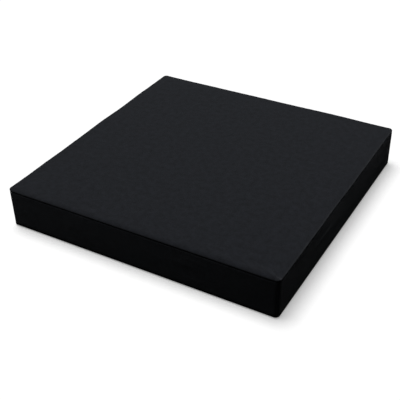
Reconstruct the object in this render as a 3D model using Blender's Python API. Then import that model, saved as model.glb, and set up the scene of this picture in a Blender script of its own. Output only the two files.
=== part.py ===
"""Boxed seat cushion: a sewn, zipped fabric cover round a lined slab of two foams.

Metres, +Z up. The origin is the middle of the underside, at the tip of the centre grip dot.
+Y is the back, where the zip is. Cover sections are written as (inset, height): inset is
measured inwards from the cover's outer face, and height upwards from the floor.
"""

import math

import bmesh
import bpy
from mathutils import Vector

# Finished size of the cushion.
WIDTH = 0.400
DEPTH = 0.400
HEIGHT = 0.060

# Cover fabric and the way it is sewn.
FABRIC = 0.0010
FOLD_RADIUS = 0.0008
CORNER_RADIUS = 0.006
TOP_SEAM_DROP = 0.0040
BASE_SEAM_RISE = 0.0030
SEAM_ALLOWANCE = 0.0080
CORNER_ALLOWANCE = 0.0070
THREAD = 0.0004

# Grip dots printed on the base panel.
DOT_RADIUS = 0.0025
DOT_HEIGHT = 0.0006
DOT_PITCH = 0.040
DOT_MARGIN = 0.012
DOT_SINK = 0.0004

# Zip in the rear face.
ZIP_OPENING = 0.0110
HEM_TO_ALLOWANCE = 0.0034
ZIP_END_MARGIN = 0.022
ZIP_STITCH_OFFSET = 0.0020
TAPE_THICKNESS = 0.0006
TAPE_TO_ALLOWANCE = 0.0042
COIL_WIDTH = 0.0026
COIL_HEIGHT = 0.0018
COIL_ROUND = 0.00045
STOP_LENGTH = 0.0016
STOP_RISE = 0.0002

# Zip slider and its pull tab.
SLIDER_LENGTH = 0.0120
SLIDER_WALL = 0.0010
SLIDER_BACK_PLATE = 0.0008
SLIDER_TAIL_TAPER = 0.0008
SLIDER_TAIL_LENGTH = 0.0040
SLIDER_NOSE = 0.0010
SLIDER_LIP = 0.0007
SLIDER_LIP_DEPTH = 0.0017
SLIDER_LIP_LENGTH = 0.0060
SLIDER_WEB = 0.0008
SLIDER_WEB_LENGTH = 0.0036
SLIDER_WEB_SETBACK = 0.0012
BAIL_SPAN = 0.0060
BAIL_WIDTH = 0.0014
BAIL_LEG = 0.0008
BAIL_TOP = 0.0007
TAB_THICKNESS = 0.0009
TAB_LENGTH = 0.0240
TAB_WIDTH = 0.0066
TAB_EYE_LENGTH = 0.0041
TAB_EYE_ARM = 0.0015
TAB_SHOULDER = 0.0035
TAB_END_ROUND = 0.0016
TAB_SLOT_LENGTH = 0.0070
TAB_SLOT_WIDTH = 0.0022
TAB_SLOT_FROM_END = 0.0030

# Blank care label, sewn inside the lower rear seam.
LABEL_WIDTH = 0.040
LABEL_HEIGHT = 0.0150
LABEL_THICKNESS = 0.0003
LABEL_CENTRE_X = -0.120

# Inner liner and the foams inside it.
LINER = 0.0005
SUPPORT_FOAM_HEIGHT = 0.0330
FOAM_EDGE = 0.0020

# Clearances.
GAP = 0.0003
RUN_CLEARANCE = 0.0003
INNER_CLEARANCE = 0.0005

# Facets in one rounded vertical corner (an even number), and in one small round.
CORNER_STEPS = 6
ROUND_STEPS = 3
DOT_SIDES = 8
SHARP_ANGLE = math.radians(35)

# Levels worked out from the sizes above.
BASE_FACE = DOT_HEIGHT
BASE_SEAM = BASE_FACE + BASE_SEAM_RISE
TOP_SEAM = HEIGHT - TOP_SEAM_DROP
BASE_TURN_END = BASE_SEAM + SEAM_ALLOWANCE
TOP_TURN_END = TOP_SEAM - SEAM_ALLOWANCE
ZIP_LEVEL = (BASE_SEAM + TOP_SEAM) / 2
ZIP_LOW = ZIP_LEVEL - ZIP_OPENING / 2
ZIP_HIGH = ZIP_LEVEL + ZIP_OPENING / 2
ZIP_HEM = ZIP_LOW - GAP - BASE_TURN_END - HEM_TO_ALLOWANCE
TAPE_REACH = TOP_TURN_END - ZIP_LEVEL - TAPE_TO_ALLOWANCE

# Insets of the layers behind the cover's outer face.
TURN_INSET = FABRIC + GAP
TURN_END = TURN_INSET + FABRIC
PANEL_TURN_INSET = TURN_END + GAP
PANEL_TURN_END = PANEL_TURN_INSET + FABRIC
THREAD_INSET = PANEL_TURN_END + GAP
TAPE_INSET = TURN_END + GAP
TAPE_END = TAPE_INSET + TAPE_THICKNESS
STITCH_INSET = TAPE_END + GAP
LABEL_INSET = STITCH_INSET + THREAD + GAP
SLIDER_BACK_END = TAPE_END + RUN_CLEARANCE + SLIDER_BACK_PLATE
DEEPEST_INSET = max(SLIDER_BACK_END, THREAD_INSET + THREAD, LABEL_INSET + LABEL_THICKNESS)
LINER_INSET = DEEPEST_INSET + INNER_CLEARANCE

# Zip places.
CHAIN_END = WIDTH / 2 - ZIP_END_MARGIN
CHAIN_SPLIT = SLIDER_WEB / 2 + RUN_CLEARANCE
COIL_FACE = TAPE_INSET - GAP - COIL_HEIGHT
CORNER_ZONE = max(CORNER_RADIUS, TAPE_END + math.sqrt(2) * (GAP + FABRIC) + GAP)
TAPE_HALF_LENGTH = WIDTH / 2 - CORNER_ZONE
STOP_END = CHAIN_END + GAP + STOP_LENGTH

WHITE = (0.80, 0.80, 0.78)
BLACK_FABRIC = (0.012, 0.012, 0.013)
FINISHES = {
    "cover_fabric": (BLACK_FABRIC, 0.92, 0.0),
    "grip_fabric": ((0.016, 0.016, 0.017), 0.80, 0.0),
    "thread": ((0.014, 0.014, 0.015), 0.60, 0.0),
    "zip_tape": ((0.013, 0.013, 0.014), 0.85, 0.0),
    "zip_nylon": ((0.018, 0.018, 0.019), 0.40, 0.0),
    "zip_metal": ((0.045, 0.045, 0.048), 0.35, 1.0),
    "label_satin": (WHITE, 0.50, 0.0),
    "liner_knit": ((0.72, 0.72, 0.70), 0.90, 0.0),
    "comfort_foam": ((0.82, 0.78, 0.62), 0.95, 0.0),
    "support_foam": ((0.55, 0.57, 0.60), 0.95, 0.0),
}


def clear_scene():
    """Remove whatever the scene starts with."""
    for item in list(bpy.data.objects):
        bpy.data.objects.remove(item, do_unlink=True)


def finish_material(name):
    """The Principled material of this finish, made the first time it is asked for."""
    material = bpy.data.materials.get(name)
    if material is None:
        colour, roughness, metallic = FINISHES[name]
        material = bpy.data.materials.new(name)
        material.use_nodes = True
        shader = material.node_tree.nodes["Principled BSDF"]
        shader.inputs["Base Color"].default_value = (*colour, 1.0)
        shader.inputs["Roughness"].default_value = roughness
        shader.inputs["Metallic"].default_value = metallic
        material.diffuse_color = (*colour, 1.0)
    return material


def new_object(name, mesh_builder, finish, location=(0, 0, 0)):
    """Turn a bmesh into a named object with outward faces, smooth rounds and its own material."""
    bmesh.ops.recalc_face_normals(mesh_builder, faces=mesh_builder.faces[:])
    mesh = bpy.data.meshes.new(name)
    mesh_builder.to_mesh(mesh)
    mesh_builder.free()
    mesh.shade_smooth()
    mesh.set_sharp_from_angle(angle=SHARP_ANGLE)
    mesh.materials.append(finish_material(finish))
    item = bpy.data.objects.new(name, mesh)
    item.location = location
    bpy.context.scene.collection.objects.link(item)
    return item


def boolean(target, tool, operation):
    """Join the tool to the target, or cut it out; the tool stays as a hidden guide."""
    tool.hide_render = True
    tool.display_type = "WIRE"
    modifier = target.modifiers.new(tool.name, "BOOLEAN")
    modifier.operation = operation
    modifier.object = tool


def prism(outline, extrusion):
    """A bmesh of a flat outline pushed along a vector."""
    builder = bmesh.new()
    face = builder.faces.new([builder.verts.new(point) for point in outline])
    pushed = bmesh.ops.extrude_face_region(builder, geom=[face])
    moved = [part for part in pushed["geom"] if isinstance(part, bmesh.types.BMVert)]
    bmesh.ops.translate(builder, verts=moved, vec=Vector(extrusion))
    return builder


def block(low, high):
    """A bmesh of a box between two corners."""
    outline = [
        (low[0], low[1], low[2]),
        (high[0], low[1], low[2]),
        (high[0], high[1], low[2]),
        (low[0], high[1], low[2]),
    ]
    return prism(outline, (0, 0, high[2] - low[2]))


def arc(centre, radius, start, end, steps=ROUND_STEPS):
    """Points of a flat arc, both ends included; angles in degrees."""
    points = []
    for step in range(steps + 1):
        angle = math.radians(start + (end - start) * step / steps)
        points.append((centre[0] + radius * math.cos(angle), centre[1] + radius * math.sin(angle)))
    return points


def corner_centre(diagonal, half_x, half_y, radius):
    """Centre of the rounded corner that lies this way from the middle."""
    return (
        math.copysign(half_x - radius, math.cos(diagonal)),
        math.copysign(half_y - radius, math.sin(diagonal)),
    )


def station(centre, radius, angle):
    """A place on a rounded outline: it turns an inset into a plan point."""

    def point(inset):
        reach = radius - inset
        return (centre[0] + reach * math.cos(angle), centre[1] + reach * math.sin(angle))

    return point


def seam_station(centre, diagonal, turn):
    """The end of a gusset at a corner seam: a flat end, half a gap from the corner's diagonal."""

    def point(inset):
        reach = CORNER_RADIUS - inset
        angle = diagonal + turn * math.asin(GAP / 2 / reach)
        return (centre[0] + reach * math.cos(angle), centre[1] + reach * math.sin(angle))

    return point


def ring(half_x, half_y, radius):
    """Stations all the way round a rounded rectangle."""
    stations = []
    for quarter in range(4):
        diagonal = math.radians(45 + 90 * quarter)
        centre = corner_centre(diagonal, half_x, half_y, radius)
        for step in range(CORNER_STEPS + 1):
            angle = diagonal + math.radians(90 * step / CORNER_STEPS - 45)
            stations.append(station(centre, radius, angle))
    return stations


def cover_ring():
    """Stations round the cover's outer face."""
    return ring(WIDTH / 2, DEPTH / 2, CORNER_RADIUS)


def half_corner(facing, end):
    """Stations from a corner seam round to where the side that faces this way runs straight."""
    diagonal = math.radians(facing + 45 * end)
    centre = corner_centre(diagonal, WIDTH / 2, DEPTH / 2, CORNER_RADIUS)
    stations = [seam_station(centre, diagonal, -end)]
    half_steps = CORNER_STEPS // 2
    for step in range(1, half_steps + 1):
        angle = diagonal - end * math.radians(45 * step / half_steps)
        stations.append(station(centre, CORNER_RADIUS, angle))
    return stations


def side_run(facing):
    """Stations along one side of the cover, from corner seam to corner seam."""
    return half_corner(facing, -1) + half_corner(facing, 1)[::-1]


def rear_station(x):
    """A place on the straight part of the rear face."""
    return lambda inset: (x, DEPTH / 2 - inset)


def skin(section, stations, section_closed, run_closed):
    """Carry a section from station to station; returns the builder and its rows of vertices."""
    builder = bmesh.new()
    rows = []
    for place in stations:
        rows.append([builder.verts.new((*place(inset), height)) for inset, height in section])
    count = len(section)
    faces_across = count if section_closed else count - 1
    pairs = list(zip(rows, rows[1:]))
    if run_closed:
        pairs.append((rows[-1], rows[0]))
    for first, second in pairs:
        for index in range(faces_across):
            after = (index + 1) % count
            builder.faces.new((first[index], second[index], second[after], first[after]))
    return builder, rows


def panel(section, stations):
    """A panel that covers the whole outline: both ends of its section run on to the middle."""
    builder, rows = skin(section, stations, section_closed=False, run_closed=True)
    builder.faces.new([row[0] for row in rows])
    builder.faces.new([row[-1] for row in rows])
    return builder


def loop(section, stations):
    """A closed section carried all the way round a closed outline."""
    return skin(section, stations, section_closed=True, run_closed=True)[0]


def strip(section, stations):
    """A closed section carried along an open run, with flat ends."""
    builder, rows = skin(section, stations, section_closed=True, run_closed=False)
    builder.faces.new(rows[0])
    builder.faces.new(rows[-1])
    return builder


def rolled_panel_section(face, seam):
    """Half section of the top or base panel.

    The panel rolls over the edge down to the seam, and its allowance turns in behind the gusset.
    """
    inwards = math.copysign(1, seam - face)
    roll = abs(seam - face) - FABRIC - GAP
    centre = (roll, face + inwards * roll)
    outer = arc(centre, roll, -90 * inwards, -180 * inwards)
    inner = arc(centre, roll - FABRIC, -180 * inwards, -90 * inwards)
    turned = [
        (0, seam),
        (PANEL_TURN_INSET, seam),
        (PANEL_TURN_INSET, seam + inwards * SEAM_ALLOWANCE),
        (PANEL_TURN_END, seam + inwards * SEAM_ALLOWANCE),
        (PANEL_TURN_END, seam - inwards * FABRIC),
        (FABRIC, seam - inwards * FABRIC),
    ]
    return outer + turned + inner


def hemmed_section(low, high, low_turn, high_turn):
    """Section of a gusset strip whose two long edges are folded in, with rounded folds."""
    lower_fold = arc((FOLD_RADIUS, low + FOLD_RADIUS), FOLD_RADIUS, 270, 180)
    upper_fold = arc((FOLD_RADIUS, high - FOLD_RADIUS), FOLD_RADIUS, 180, 90)
    inside = [
        (TURN_END, high),
        (TURN_END, high - high_turn),
        (TURN_INSET, high - high_turn),
        (TURN_INSET, high - FABRIC),
        (FABRIC, high - FABRIC),
        (FABRIC, low + FABRIC),
        (TURN_INSET, low + FABRIC),
        (TURN_INSET, low + low_turn),
        (TURN_END, low + low_turn),
        (TURN_END, low),
    ]
    return lower_fold + upper_fold + inside


def corner_frame(facing, end):
    """Centre, outward diagonal and sideways direction (towards the gusset) of one corner seam."""
    diagonal = math.radians(facing + 45 * end)
    centre = Vector(corner_centre(diagonal, WIDTH / 2, DEPTH / 2, CORNER_RADIUS))
    outward = Vector((math.cos(diagonal), math.sin(diagonal)))
    sideways = Vector((outward.y, -outward.x)) * end
    return centre, outward, sideways


def corner_bar(facing, end, near, far, outer, inner, low, high):
    """An upright bar beside a corner's diagonal, between two offsets and two radii."""
    centre, outward, sideways = corner_frame(facing, end)
    plan = [
        centre + outward * outer + sideways * near,
        centre + outward * outer + sideways * far,
        centre + outward * inner + sideways * far,
        centre + outward * inner + sideways * near,
    ]
    return prism([(point.x, point.y, low) for point in plan], (0, 0, high - low))


def make_gusset(name, facing, low, high, low_turn, high_turn):
    """One sewn side strip, with its allowances turned in at both corner seams."""
    section = hemmed_section(low, high, low_turn, high_turn)
    gusset = new_object(name, strip(section, side_run(facing)), "cover_fabric")
    turn_low = max(low + FABRIC, BASE_TURN_END + GAP)
    turn_high = min(high - FABRIC, TOP_TURN_END - GAP)
    outer = CORNER_RADIUS - FABRIC / 2
    inner = CORNER_RADIUS - FABRIC - CORNER_ALLOWANCE
    for end, side in ((-1, "first"), (1, "second")):
        allowance = corner_bar(facing, end, GAP, GAP + FABRIC, outer, inner, turn_low, turn_high)
        tool = new_object(f"{name}_{side}_corner_allowance", allowance, "cover_fabric")
        boolean(gusset, tool, "UNION")


def make_top_panel():
    """The seat fabric."""
    section = rolled_panel_section(HEIGHT, TOP_SEAM)
    new_object("top_panel", panel(section, cover_ring()), "cover_fabric")


def dot_positions():
    """Plan positions of the grip dots: an odd number each way, so that one is in the middle."""
    across = int((WIDTH / 2 - DOT_MARGIN) // DOT_PITCH)
    along = int((DEPTH / 2 - DOT_MARGIN) // DOT_PITCH)
    for column in range(-across, across + 1):
        for row in range(-along, along + 1):
            yield column * DOT_PITCH, row * DOT_PITCH


def make_base_panel():
    """The non-slip base fabric with its printed dots."""
    section = rolled_panel_section(BASE_FACE, BASE_SEAM)
    base = new_object("base_panel", panel(section, cover_ring()), "grip_fabric")
    builder = bmesh.new()
    for x, y in dot_positions():
        rim = arc((x, y), DOT_RADIUS, 0, 360 - 360 / DOT_SIDES, DOT_SIDES - 1)
        face = builder.faces.new([builder.verts.new((*point, 0)) for point in rim])
        raised = bmesh.ops.extrude_face_region(builder, geom=[face])
        top = [part for part in raised["geom"] if isinstance(part, bmesh.types.BMVert)]
        bmesh.ops.translate(builder, verts=top, vec=(0, 0, BASE_FACE + DOT_SINK))
    boolean(base, new_object("printed_dots", builder, "grip_fabric"), "UNION")


def make_gussets():
    """The four sides; the rear one is two strips with the zip between them."""
    low = BASE_SEAM + GAP
    high = TOP_SEAM - GAP
    for name, facing in (("front_gusset", -90), ("right_gusset", 0), ("left_gusset", 180)):
        make_gusset(name, facing, low, high, SEAM_ALLOWANCE, SEAM_ALLOWANCE)
    make_gusset("rear_gusset_lower", 90, low, ZIP_LOW, SEAM_ALLOWANCE, ZIP_HEM)
    make_gusset("rear_gusset_upper", 90, ZIP_HIGH, high, ZIP_HEM, SEAM_ALLOWANCE)


def thread_section(inset, level):
    """Square section of a row of stitching."""
    return [
        (inset, level),
        (inset, level + THREAD),
        (inset + THREAD, level + THREAD),
        (inset + THREAD, level),
    ]


def make_seam_threads():
    """Rows of stitching that hold the panels to the gussets and the gussets to each other."""
    top = thread_section(THREAD_INSET, TOP_SEAM - FABRIC)
    base = thread_section(THREAD_INSET, BASE_SEAM + FABRIC - THREAD)
    new_object("top_seam_thread", loop(top, cover_ring()), "thread")
    new_object("base_seam_thread", loop(base, cover_ring()), "thread")
    near = GAP + FABRIC + GAP
    outer = CORNER_RADIUS - FABRIC - 2 * THREAD
    corners = (("front_right", -90, 1), ("front_left", -90, -1),
               ("rear_right", 0, 1), ("rear_left", 180, -1))
    for corner, facing, end in corners:
        row = corner_bar(facing, end, near, near + THREAD, outer, outer - THREAD,
                         BASE_TURN_END + 2 * GAP, TOP_TURN_END - 2 * GAP)
        new_object(f"corner_seam_thread_{corner}", row, "thread")


def rear_block(name, finish, x_range, insets, levels, bevel=0.0):
    """A block in the rear face: x from and to, insets from the face, and heights."""
    low = (x_range[0], DEPTH / 2 - insets[1], levels[0])
    high = (x_range[1], DEPTH / 2 - insets[0], levels[1])
    item = new_object(name, block(low, high), finish)
    if bevel:
        modifier = item.modifiers.new("edges", "BEVEL")
        modifier.width = bevel
        modifier.segments = 2
    return item


def zip_levels(side, near, far):
    """Heights of a zip piece above (side 1) or below (side -1) the middle of the chain."""
    return sorted((ZIP_LEVEL + side * near, ZIP_LEVEL + side * far))


def make_zip_chain():
    """Tapes, coils, stops and stitching: the half of the zip that stays put."""
    tape_run = (-TAPE_HALF_LENGTH, TAPE_HALF_LENGTH)
    stitch_run = (-STOP_END, STOP_END)
    stitch_near = ZIP_OPENING / 2 + ZIP_STITCH_OFFSET
    stitch_insets = (STITCH_INSET, STITCH_INSET + THREAD)
    coil_insets = (COIL_FACE, TAPE_INSET - GAP)
    stop_insets = (COIL_FACE - STOP_RISE, TAPE_INSET - GAP)
    coil_far = CHAIN_SPLIT + COIL_WIDTH
    for side, label in ((1, "upper"), (-1, "lower")):
        rear_block(f"zip_tape_{label}", "zip_tape", tape_run, (TAPE_INSET, TAPE_END),
                   zip_levels(side, CHAIN_SPLIT, TAPE_REACH))
        rear_block(f"zip_coil_{label}", "zip_nylon", (-CHAIN_END, CHAIN_END), coil_insets,
                   zip_levels(side, CHAIN_SPLIT, coil_far), bevel=COIL_ROUND)
        rear_block(f"zip_stitching_{label}", "thread", stitch_run, stitch_insets,
                   zip_levels(side, stitch_near, stitch_near + THREAD))
        rear_block(f"zip_top_stop_{label}", "zip_metal", (CHAIN_END + GAP, STOP_END), stop_insets,
                   zip_levels(side, CHAIN_SPLIT, coil_far + STOP_RISE), bevel=STOP_RISE)
    rear_block("zip_bottom_stop", "zip_metal", (-STOP_END, -CHAIN_END - GAP), stop_insets,
               zip_levels(1, -coil_far, coil_far), bevel=STOP_RISE)


def make_end_tabs():
    """Fabric tabs that close the slot from the zip's stops round to the corner seams."""
    low = ZIP_LOW + GAP
    high = ZIP_HIGH - GAP
    section = [(0, low), (0, high), (FABRIC, high), (FABRIC, low)]
    for name, end in (("zip_end_tab_right", -1), ("zip_end_tab_left", 1)):
        run = half_corner(90, end) + [rear_station(-end * (STOP_END + GAP))]
        new_object(name, strip(section, run), "cover_fabric")


def plate_outline(half_mouth, half_tail, depth):
    """Outline of a slider plate, wide at the mouth and narrower at the tail."""
    half = SLIDER_LENGTH / 2
    upper = [
        (half, half_mouth - SLIDER_NOSE),
        (half - SLIDER_NOSE, half_mouth),
        (SLIDER_TAIL_LENGTH - half, half_mouth),
        (SLIDER_NOSE - half, half_tail),
        (-half, half_tail - SLIDER_NOSE),
    ]
    lower = [(x, -z) for x, z in reversed(upper)]
    return [(x, depth, z) for x, z in upper + lower]


def make_slider():
    """The slider: two plates joined by a web between the coils, side lips and a bail.

    Its origin is in the middle of its length, on the rear face's plane, at the zip's level.
    """
    plate_back = RUN_CLEARANCE - COIL_FACE
    plate_front = plate_back + SLIDER_WALL
    lip_near = CHAIN_SPLIT + COIL_WIDTH + RUN_CLEARANCE
    half_mouth = lip_near + SLIDER_WALL
    half_tail = half_mouth - SLIDER_TAIL_TAPER
    hinge_out = plate_front + GAP + TAB_THICKNESS / 2
    bail_inside = hinge_out + TAB_THICKNESS / 2 + GAP
    origin = (CHAIN_END - SLIDER_LENGTH / 2, DEPTH / 2, ZIP_LEVEL)
    joined = plate_back + SLIDER_WALL / 2

    front = prism(plate_outline(half_mouth, half_tail, plate_back), (0, SLIDER_WALL, 0))
    slider = new_object("zip_slider", front, "zip_metal", origin)

    back_depth = -SLIDER_BACK_END
    back = prism(plate_outline(half_mouth, half_tail, back_depth), (0, SLIDER_BACK_PLATE, 0))
    web_reach = SLIDER_WEB / 2
    web_end = SLIDER_LENGTH / 2 - SLIDER_WEB_SETBACK
    web = block((web_end - SLIDER_WEB_LENGTH, back_depth + SLIDER_BACK_PLATE / 2, -web_reach),
                (web_end, joined, web_reach))
    leg = BAIL_SPAN / 2 - BAIL_LEG
    rear_half = [
        (-leg, joined),
        (-BAIL_SPAN / 2, joined),
        (-BAIL_SPAN / 2, bail_inside),
        (-leg, bail_inside + BAIL_TOP),
    ]
    inside = [(leg, joined), (leg, bail_inside), (-leg, bail_inside)]
    front_half = [(-x, y) for x, y in reversed(rear_half[1:])]
    arch = [(x, y, -BAIL_WIDTH / 2) for x, y in rear_half + front_half + inside]
    shapes = {"back_plate": back, "web": web, "bail": prism(arch, (0, 0, BAIL_WIDTH))}
    lip_low = SLIDER_TAIL_LENGTH - SLIDER_LENGTH / 2
    for label, side in (("upper_lip", 1), ("lower_lip", -1)):
        levels = sorted((side * lip_near, side * (lip_near + SLIDER_LIP)))
        shapes[label] = block((lip_low, plate_back - SLIDER_LIP_DEPTH, levels[0]),
                              (lip_low + SLIDER_LIP_LENGTH, joined, levels[1]))
    for label, shape in shapes.items():
        boolean(slider, new_object(f"slider_{label}", shape, "zip_metal", origin), "UNION")
    return origin, hinge_out


def make_pull_tab(slider_origin, hinge_out):
    """The pull tab: its eye goes round the bail, and its origin is on the hinge axis there."""
    rear = TAB_THICKNESS / 2
    eye_half = BAIL_WIDTH / 2 + GAP
    neck_half = eye_half + TAB_EYE_ARM
    tip = -TAB_LENGTH
    half = TAB_WIDTH / 2
    end_centre = (tip + TAB_END_ROUND, half - TAB_END_ROUND)
    upper = [
        (rear, neck_half - rear),
        (0, neck_half),
        (-rear - TAB_EYE_LENGTH, neck_half),
        (-rear - TAB_EYE_LENGTH - TAB_SHOULDER, half),
        *arc(end_centre, TAB_END_ROUND, 90, 180),
    ]
    lower = [(x, -z) for x, z in reversed(upper)]
    outline = [(x, -rear, z) for x, z in upper + lower]
    origin = (slider_origin[0], slider_origin[1] + hinge_out, slider_origin[2])
    tab = new_object("zip_pull_tab", prism(outline, (0, TAB_THICKNESS, 0)), "zip_metal", origin)
    slot_end = tip + TAB_SLOT_FROM_END
    holes = {
        "eye": ((-rear - TAB_EYE_LENGTH, -TAB_THICKNESS, -eye_half),
                (-rear, TAB_THICKNESS, eye_half)),
        "slot": ((slot_end, -TAB_THICKNESS, -TAB_SLOT_WIDTH / 2),
                 (slot_end + TAB_SLOT_LENGTH, TAB_THICKNESS, TAB_SLOT_WIDTH / 2)),
    }
    for label, (low, high) in holes.items():
        boolean(tab, new_object(f"pull_tab_{label}", block(low, high), "zip_metal", origin),
                "DIFFERENCE")


def make_care_label():
    """A blank woven label, sewn to the allowance of the lower rear seam, inside the cover."""
    half = LABEL_WIDTH / 2
    level = BASE_SEAM + FABRIC + GAP
    rear_block("care_label", "label_satin", (LABEL_CENTRE_X - half, LABEL_CENTRE_X + half),
               (LABEL_INSET, LABEL_INSET + LABEL_THICKNESS), (level, level + LABEL_HEIGHT))


def liner_radius():
    """Corner radius of the liner, so that it clears the allowances turned in at the corners."""
    diagonal = math.sqrt(2)
    reach = CORNER_RADIUS * (diagonal - 1) + FABRIC + CORNER_ALLOWANCE
    return (reach + INNER_CLEARANCE - LINER_INSET * diagonal) / (diagonal - 1)


def inner_ring(inset):
    """Stations round the liner, or round what is inside it."""
    half_x = WIDTH / 2 - LINER_INSET - inset
    half_y = DEPTH / 2 - LINER_INSET - inset
    return ring(half_x, half_y, liner_radius() - inset)


def make_liner():
    """The knitted inner sock, in two open trays that meet at the joint of the two foams."""
    floor = BASE_FACE + FABRIC + GAP
    roof = HEIGHT - FABRIC - GAP
    waist = floor + LINER + GAP + SUPPORT_FOAM_HEIGHT
    lower = [(LINER, floor), (0, floor + LINER), (0, waist - GAP / 2),
             (LINER, waist - GAP / 2), (LINER, floor + LINER)]
    upper = [(LINER, roof), (0, roof - LINER), (0, waist + GAP / 2),
             (LINER, waist + GAP / 2), (LINER, roof - LINER)]
    new_object("liner_lower", panel(lower, inner_ring(0)), "liner_knit")
    new_object("liner_upper", panel(upper, inner_ring(0)), "liner_knit")


def make_foam(name, low, high, finish, rounded_up):
    """One foam slab, eased along the edge that faces the cover."""
    edge_levels = (low, low + FOAM_EDGE) if not rounded_up else (high, high - FOAM_EDGE)
    flat_level = high if not rounded_up else low
    section = [(FOAM_EDGE, edge_levels[0]), (0, edge_levels[1]), (0, flat_level)]
    builder = panel(section, inner_ring(LINER + GAP))
    new_object(name, builder, finish)


def make_foams():
    """The firm support slab and the softer comfort slab bonded on top of it."""
    low = BASE_FACE + FABRIC + GAP + LINER + GAP
    joint = low + SUPPORT_FOAM_HEIGHT
    high = HEIGHT - FABRIC - GAP - LINER - GAP
    make_foam("support_foam", low, joint - GAP / 2, "support_foam", rounded_up=False)
    make_foam("comfort_foam", joint + GAP / 2, high, "comfort_foam", rounded_up=True)


def main():
    """Build the whole cushion."""
    clear_scene()
    make_top_panel()
    make_base_panel()
    make_gussets()
    make_seam_threads()
    make_zip_chain()
    make_end_tabs()
    slider_origin, hinge_out = make_slider()
    make_pull_tab(slider_origin, hinge_out)
    make_care_label()
    make_liner()
    make_foams()


main()
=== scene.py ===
"""Boxed seat cushion in black woven fabric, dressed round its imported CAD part.

Metres, +Z up, in the part's own frame: the origin is the middle of the underside and +Y is the
back, where the zip is. Sections of cloth are written as (inset, height): inset is measured
inwards from the cover's outer face, and height upwards from the floor.
"""

import sys

import logging
import math
from collections.abc import Callable, Iterable, Sequence
from dataclasses import dataclass, field
from enum import Enum

import bpy
import numpy as np
from mathutils import Matrix, Vector
from mathutils.kdtree import KDTree


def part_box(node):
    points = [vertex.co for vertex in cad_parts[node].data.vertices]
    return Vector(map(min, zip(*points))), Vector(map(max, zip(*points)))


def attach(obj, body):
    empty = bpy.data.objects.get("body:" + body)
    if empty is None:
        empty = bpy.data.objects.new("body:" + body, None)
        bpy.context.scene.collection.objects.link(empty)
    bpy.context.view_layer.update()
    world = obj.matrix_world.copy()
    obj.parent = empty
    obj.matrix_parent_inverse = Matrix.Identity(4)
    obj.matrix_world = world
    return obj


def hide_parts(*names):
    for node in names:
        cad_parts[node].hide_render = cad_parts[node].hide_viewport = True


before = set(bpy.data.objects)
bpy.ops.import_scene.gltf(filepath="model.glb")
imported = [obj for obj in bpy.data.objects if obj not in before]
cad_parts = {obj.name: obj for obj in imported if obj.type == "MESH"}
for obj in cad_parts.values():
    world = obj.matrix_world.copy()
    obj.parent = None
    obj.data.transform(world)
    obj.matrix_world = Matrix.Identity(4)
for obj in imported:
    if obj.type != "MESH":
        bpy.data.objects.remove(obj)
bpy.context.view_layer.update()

LOG = logging.getLogger("seat_cushion")
MM = 0.001
CUSHION = "cushion"
Section = list[tuple[float, float]]
Quad = tuple[int, int, int, int]
# Gives the plan place of a point of cloth from its inset.
Place = Callable[[float], tuple[float, float]]


class Finish(Enum):
    """The record's material slots."""

    COVER = "cover_fabric"
    GRIP = "grip_fabric"
    THREAD = "thread"
    ZIP_TAPE = "zip_tape"
    ZIP_NYLON = "zip_nylon"
    ZIP_METAL = "zip_metal"
    LABEL = "label_satin"
    LINER = "liner_knit"
    SUPPORT_FOAM = "support_foam"
    COMFORT_FOAM = "comfort_foam"


# ---------------------------------------------------------------------------------------------
# Materials
# ---------------------------------------------------------------------------------------------


def linear(colour: str) -> tuple[float, float, float, float]:
    """Turn an sRGB hex value into the linear colour that a shader takes.

    Args:
        colour: Six hex digits with a leading hash.

    Returns:
        Linear red, green, blue and an alpha of 1.
    """
    parts = [int(colour[i : i + 2], 16) / 255 for i in (1, 3, 5)]
    return (*((p / 12.92 if p <= 0.04045 else ((p + 0.055) / 1.055) ** 2.4) for p in parts), 1.0)


def feed(
    tree: bpy.types.NodeTree, node: bpy.types.Node, inputs: dict[str | int, object]
) -> None:
    """Give a node's inputs their values and links.

    Args:
        tree: The node tree that it is in.
        node: The node.
        inputs: For each input, a value, or the socket or node that feeds it. A node feeds it
            from its first output.
    """
    for name, value in inputs.items():
        if isinstance(value, bpy.types.Node):
            value = value.outputs[0]
        if isinstance(value, bpy.types.NodeSocket):
            tree.links.new(value, node.inputs[name])
        else:
            node.inputs[name].default_value = value


def add_node(
    tree: bpy.types.NodeTree,
    kind: str,
    settings: dict[str, object] | None = None,
    inputs: dict[str | int, object] | None = None,
) -> bpy.types.Node:
    """Add one node, with its settings, values and links.

    Args:
        tree: The node tree that it goes in.
        kind: The node's type, without the leading "ShaderNode".
        settings: Properties of the node.
        inputs: What its inputs are given, as for feed.

    Returns:
        The new node.
    """
    node = tree.nodes.new("ShaderNode" + kind)
    for name, value in (settings or {}).items():
        setattr(node, name, value)
    feed(tree, node, inputs or {})
    return node


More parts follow.
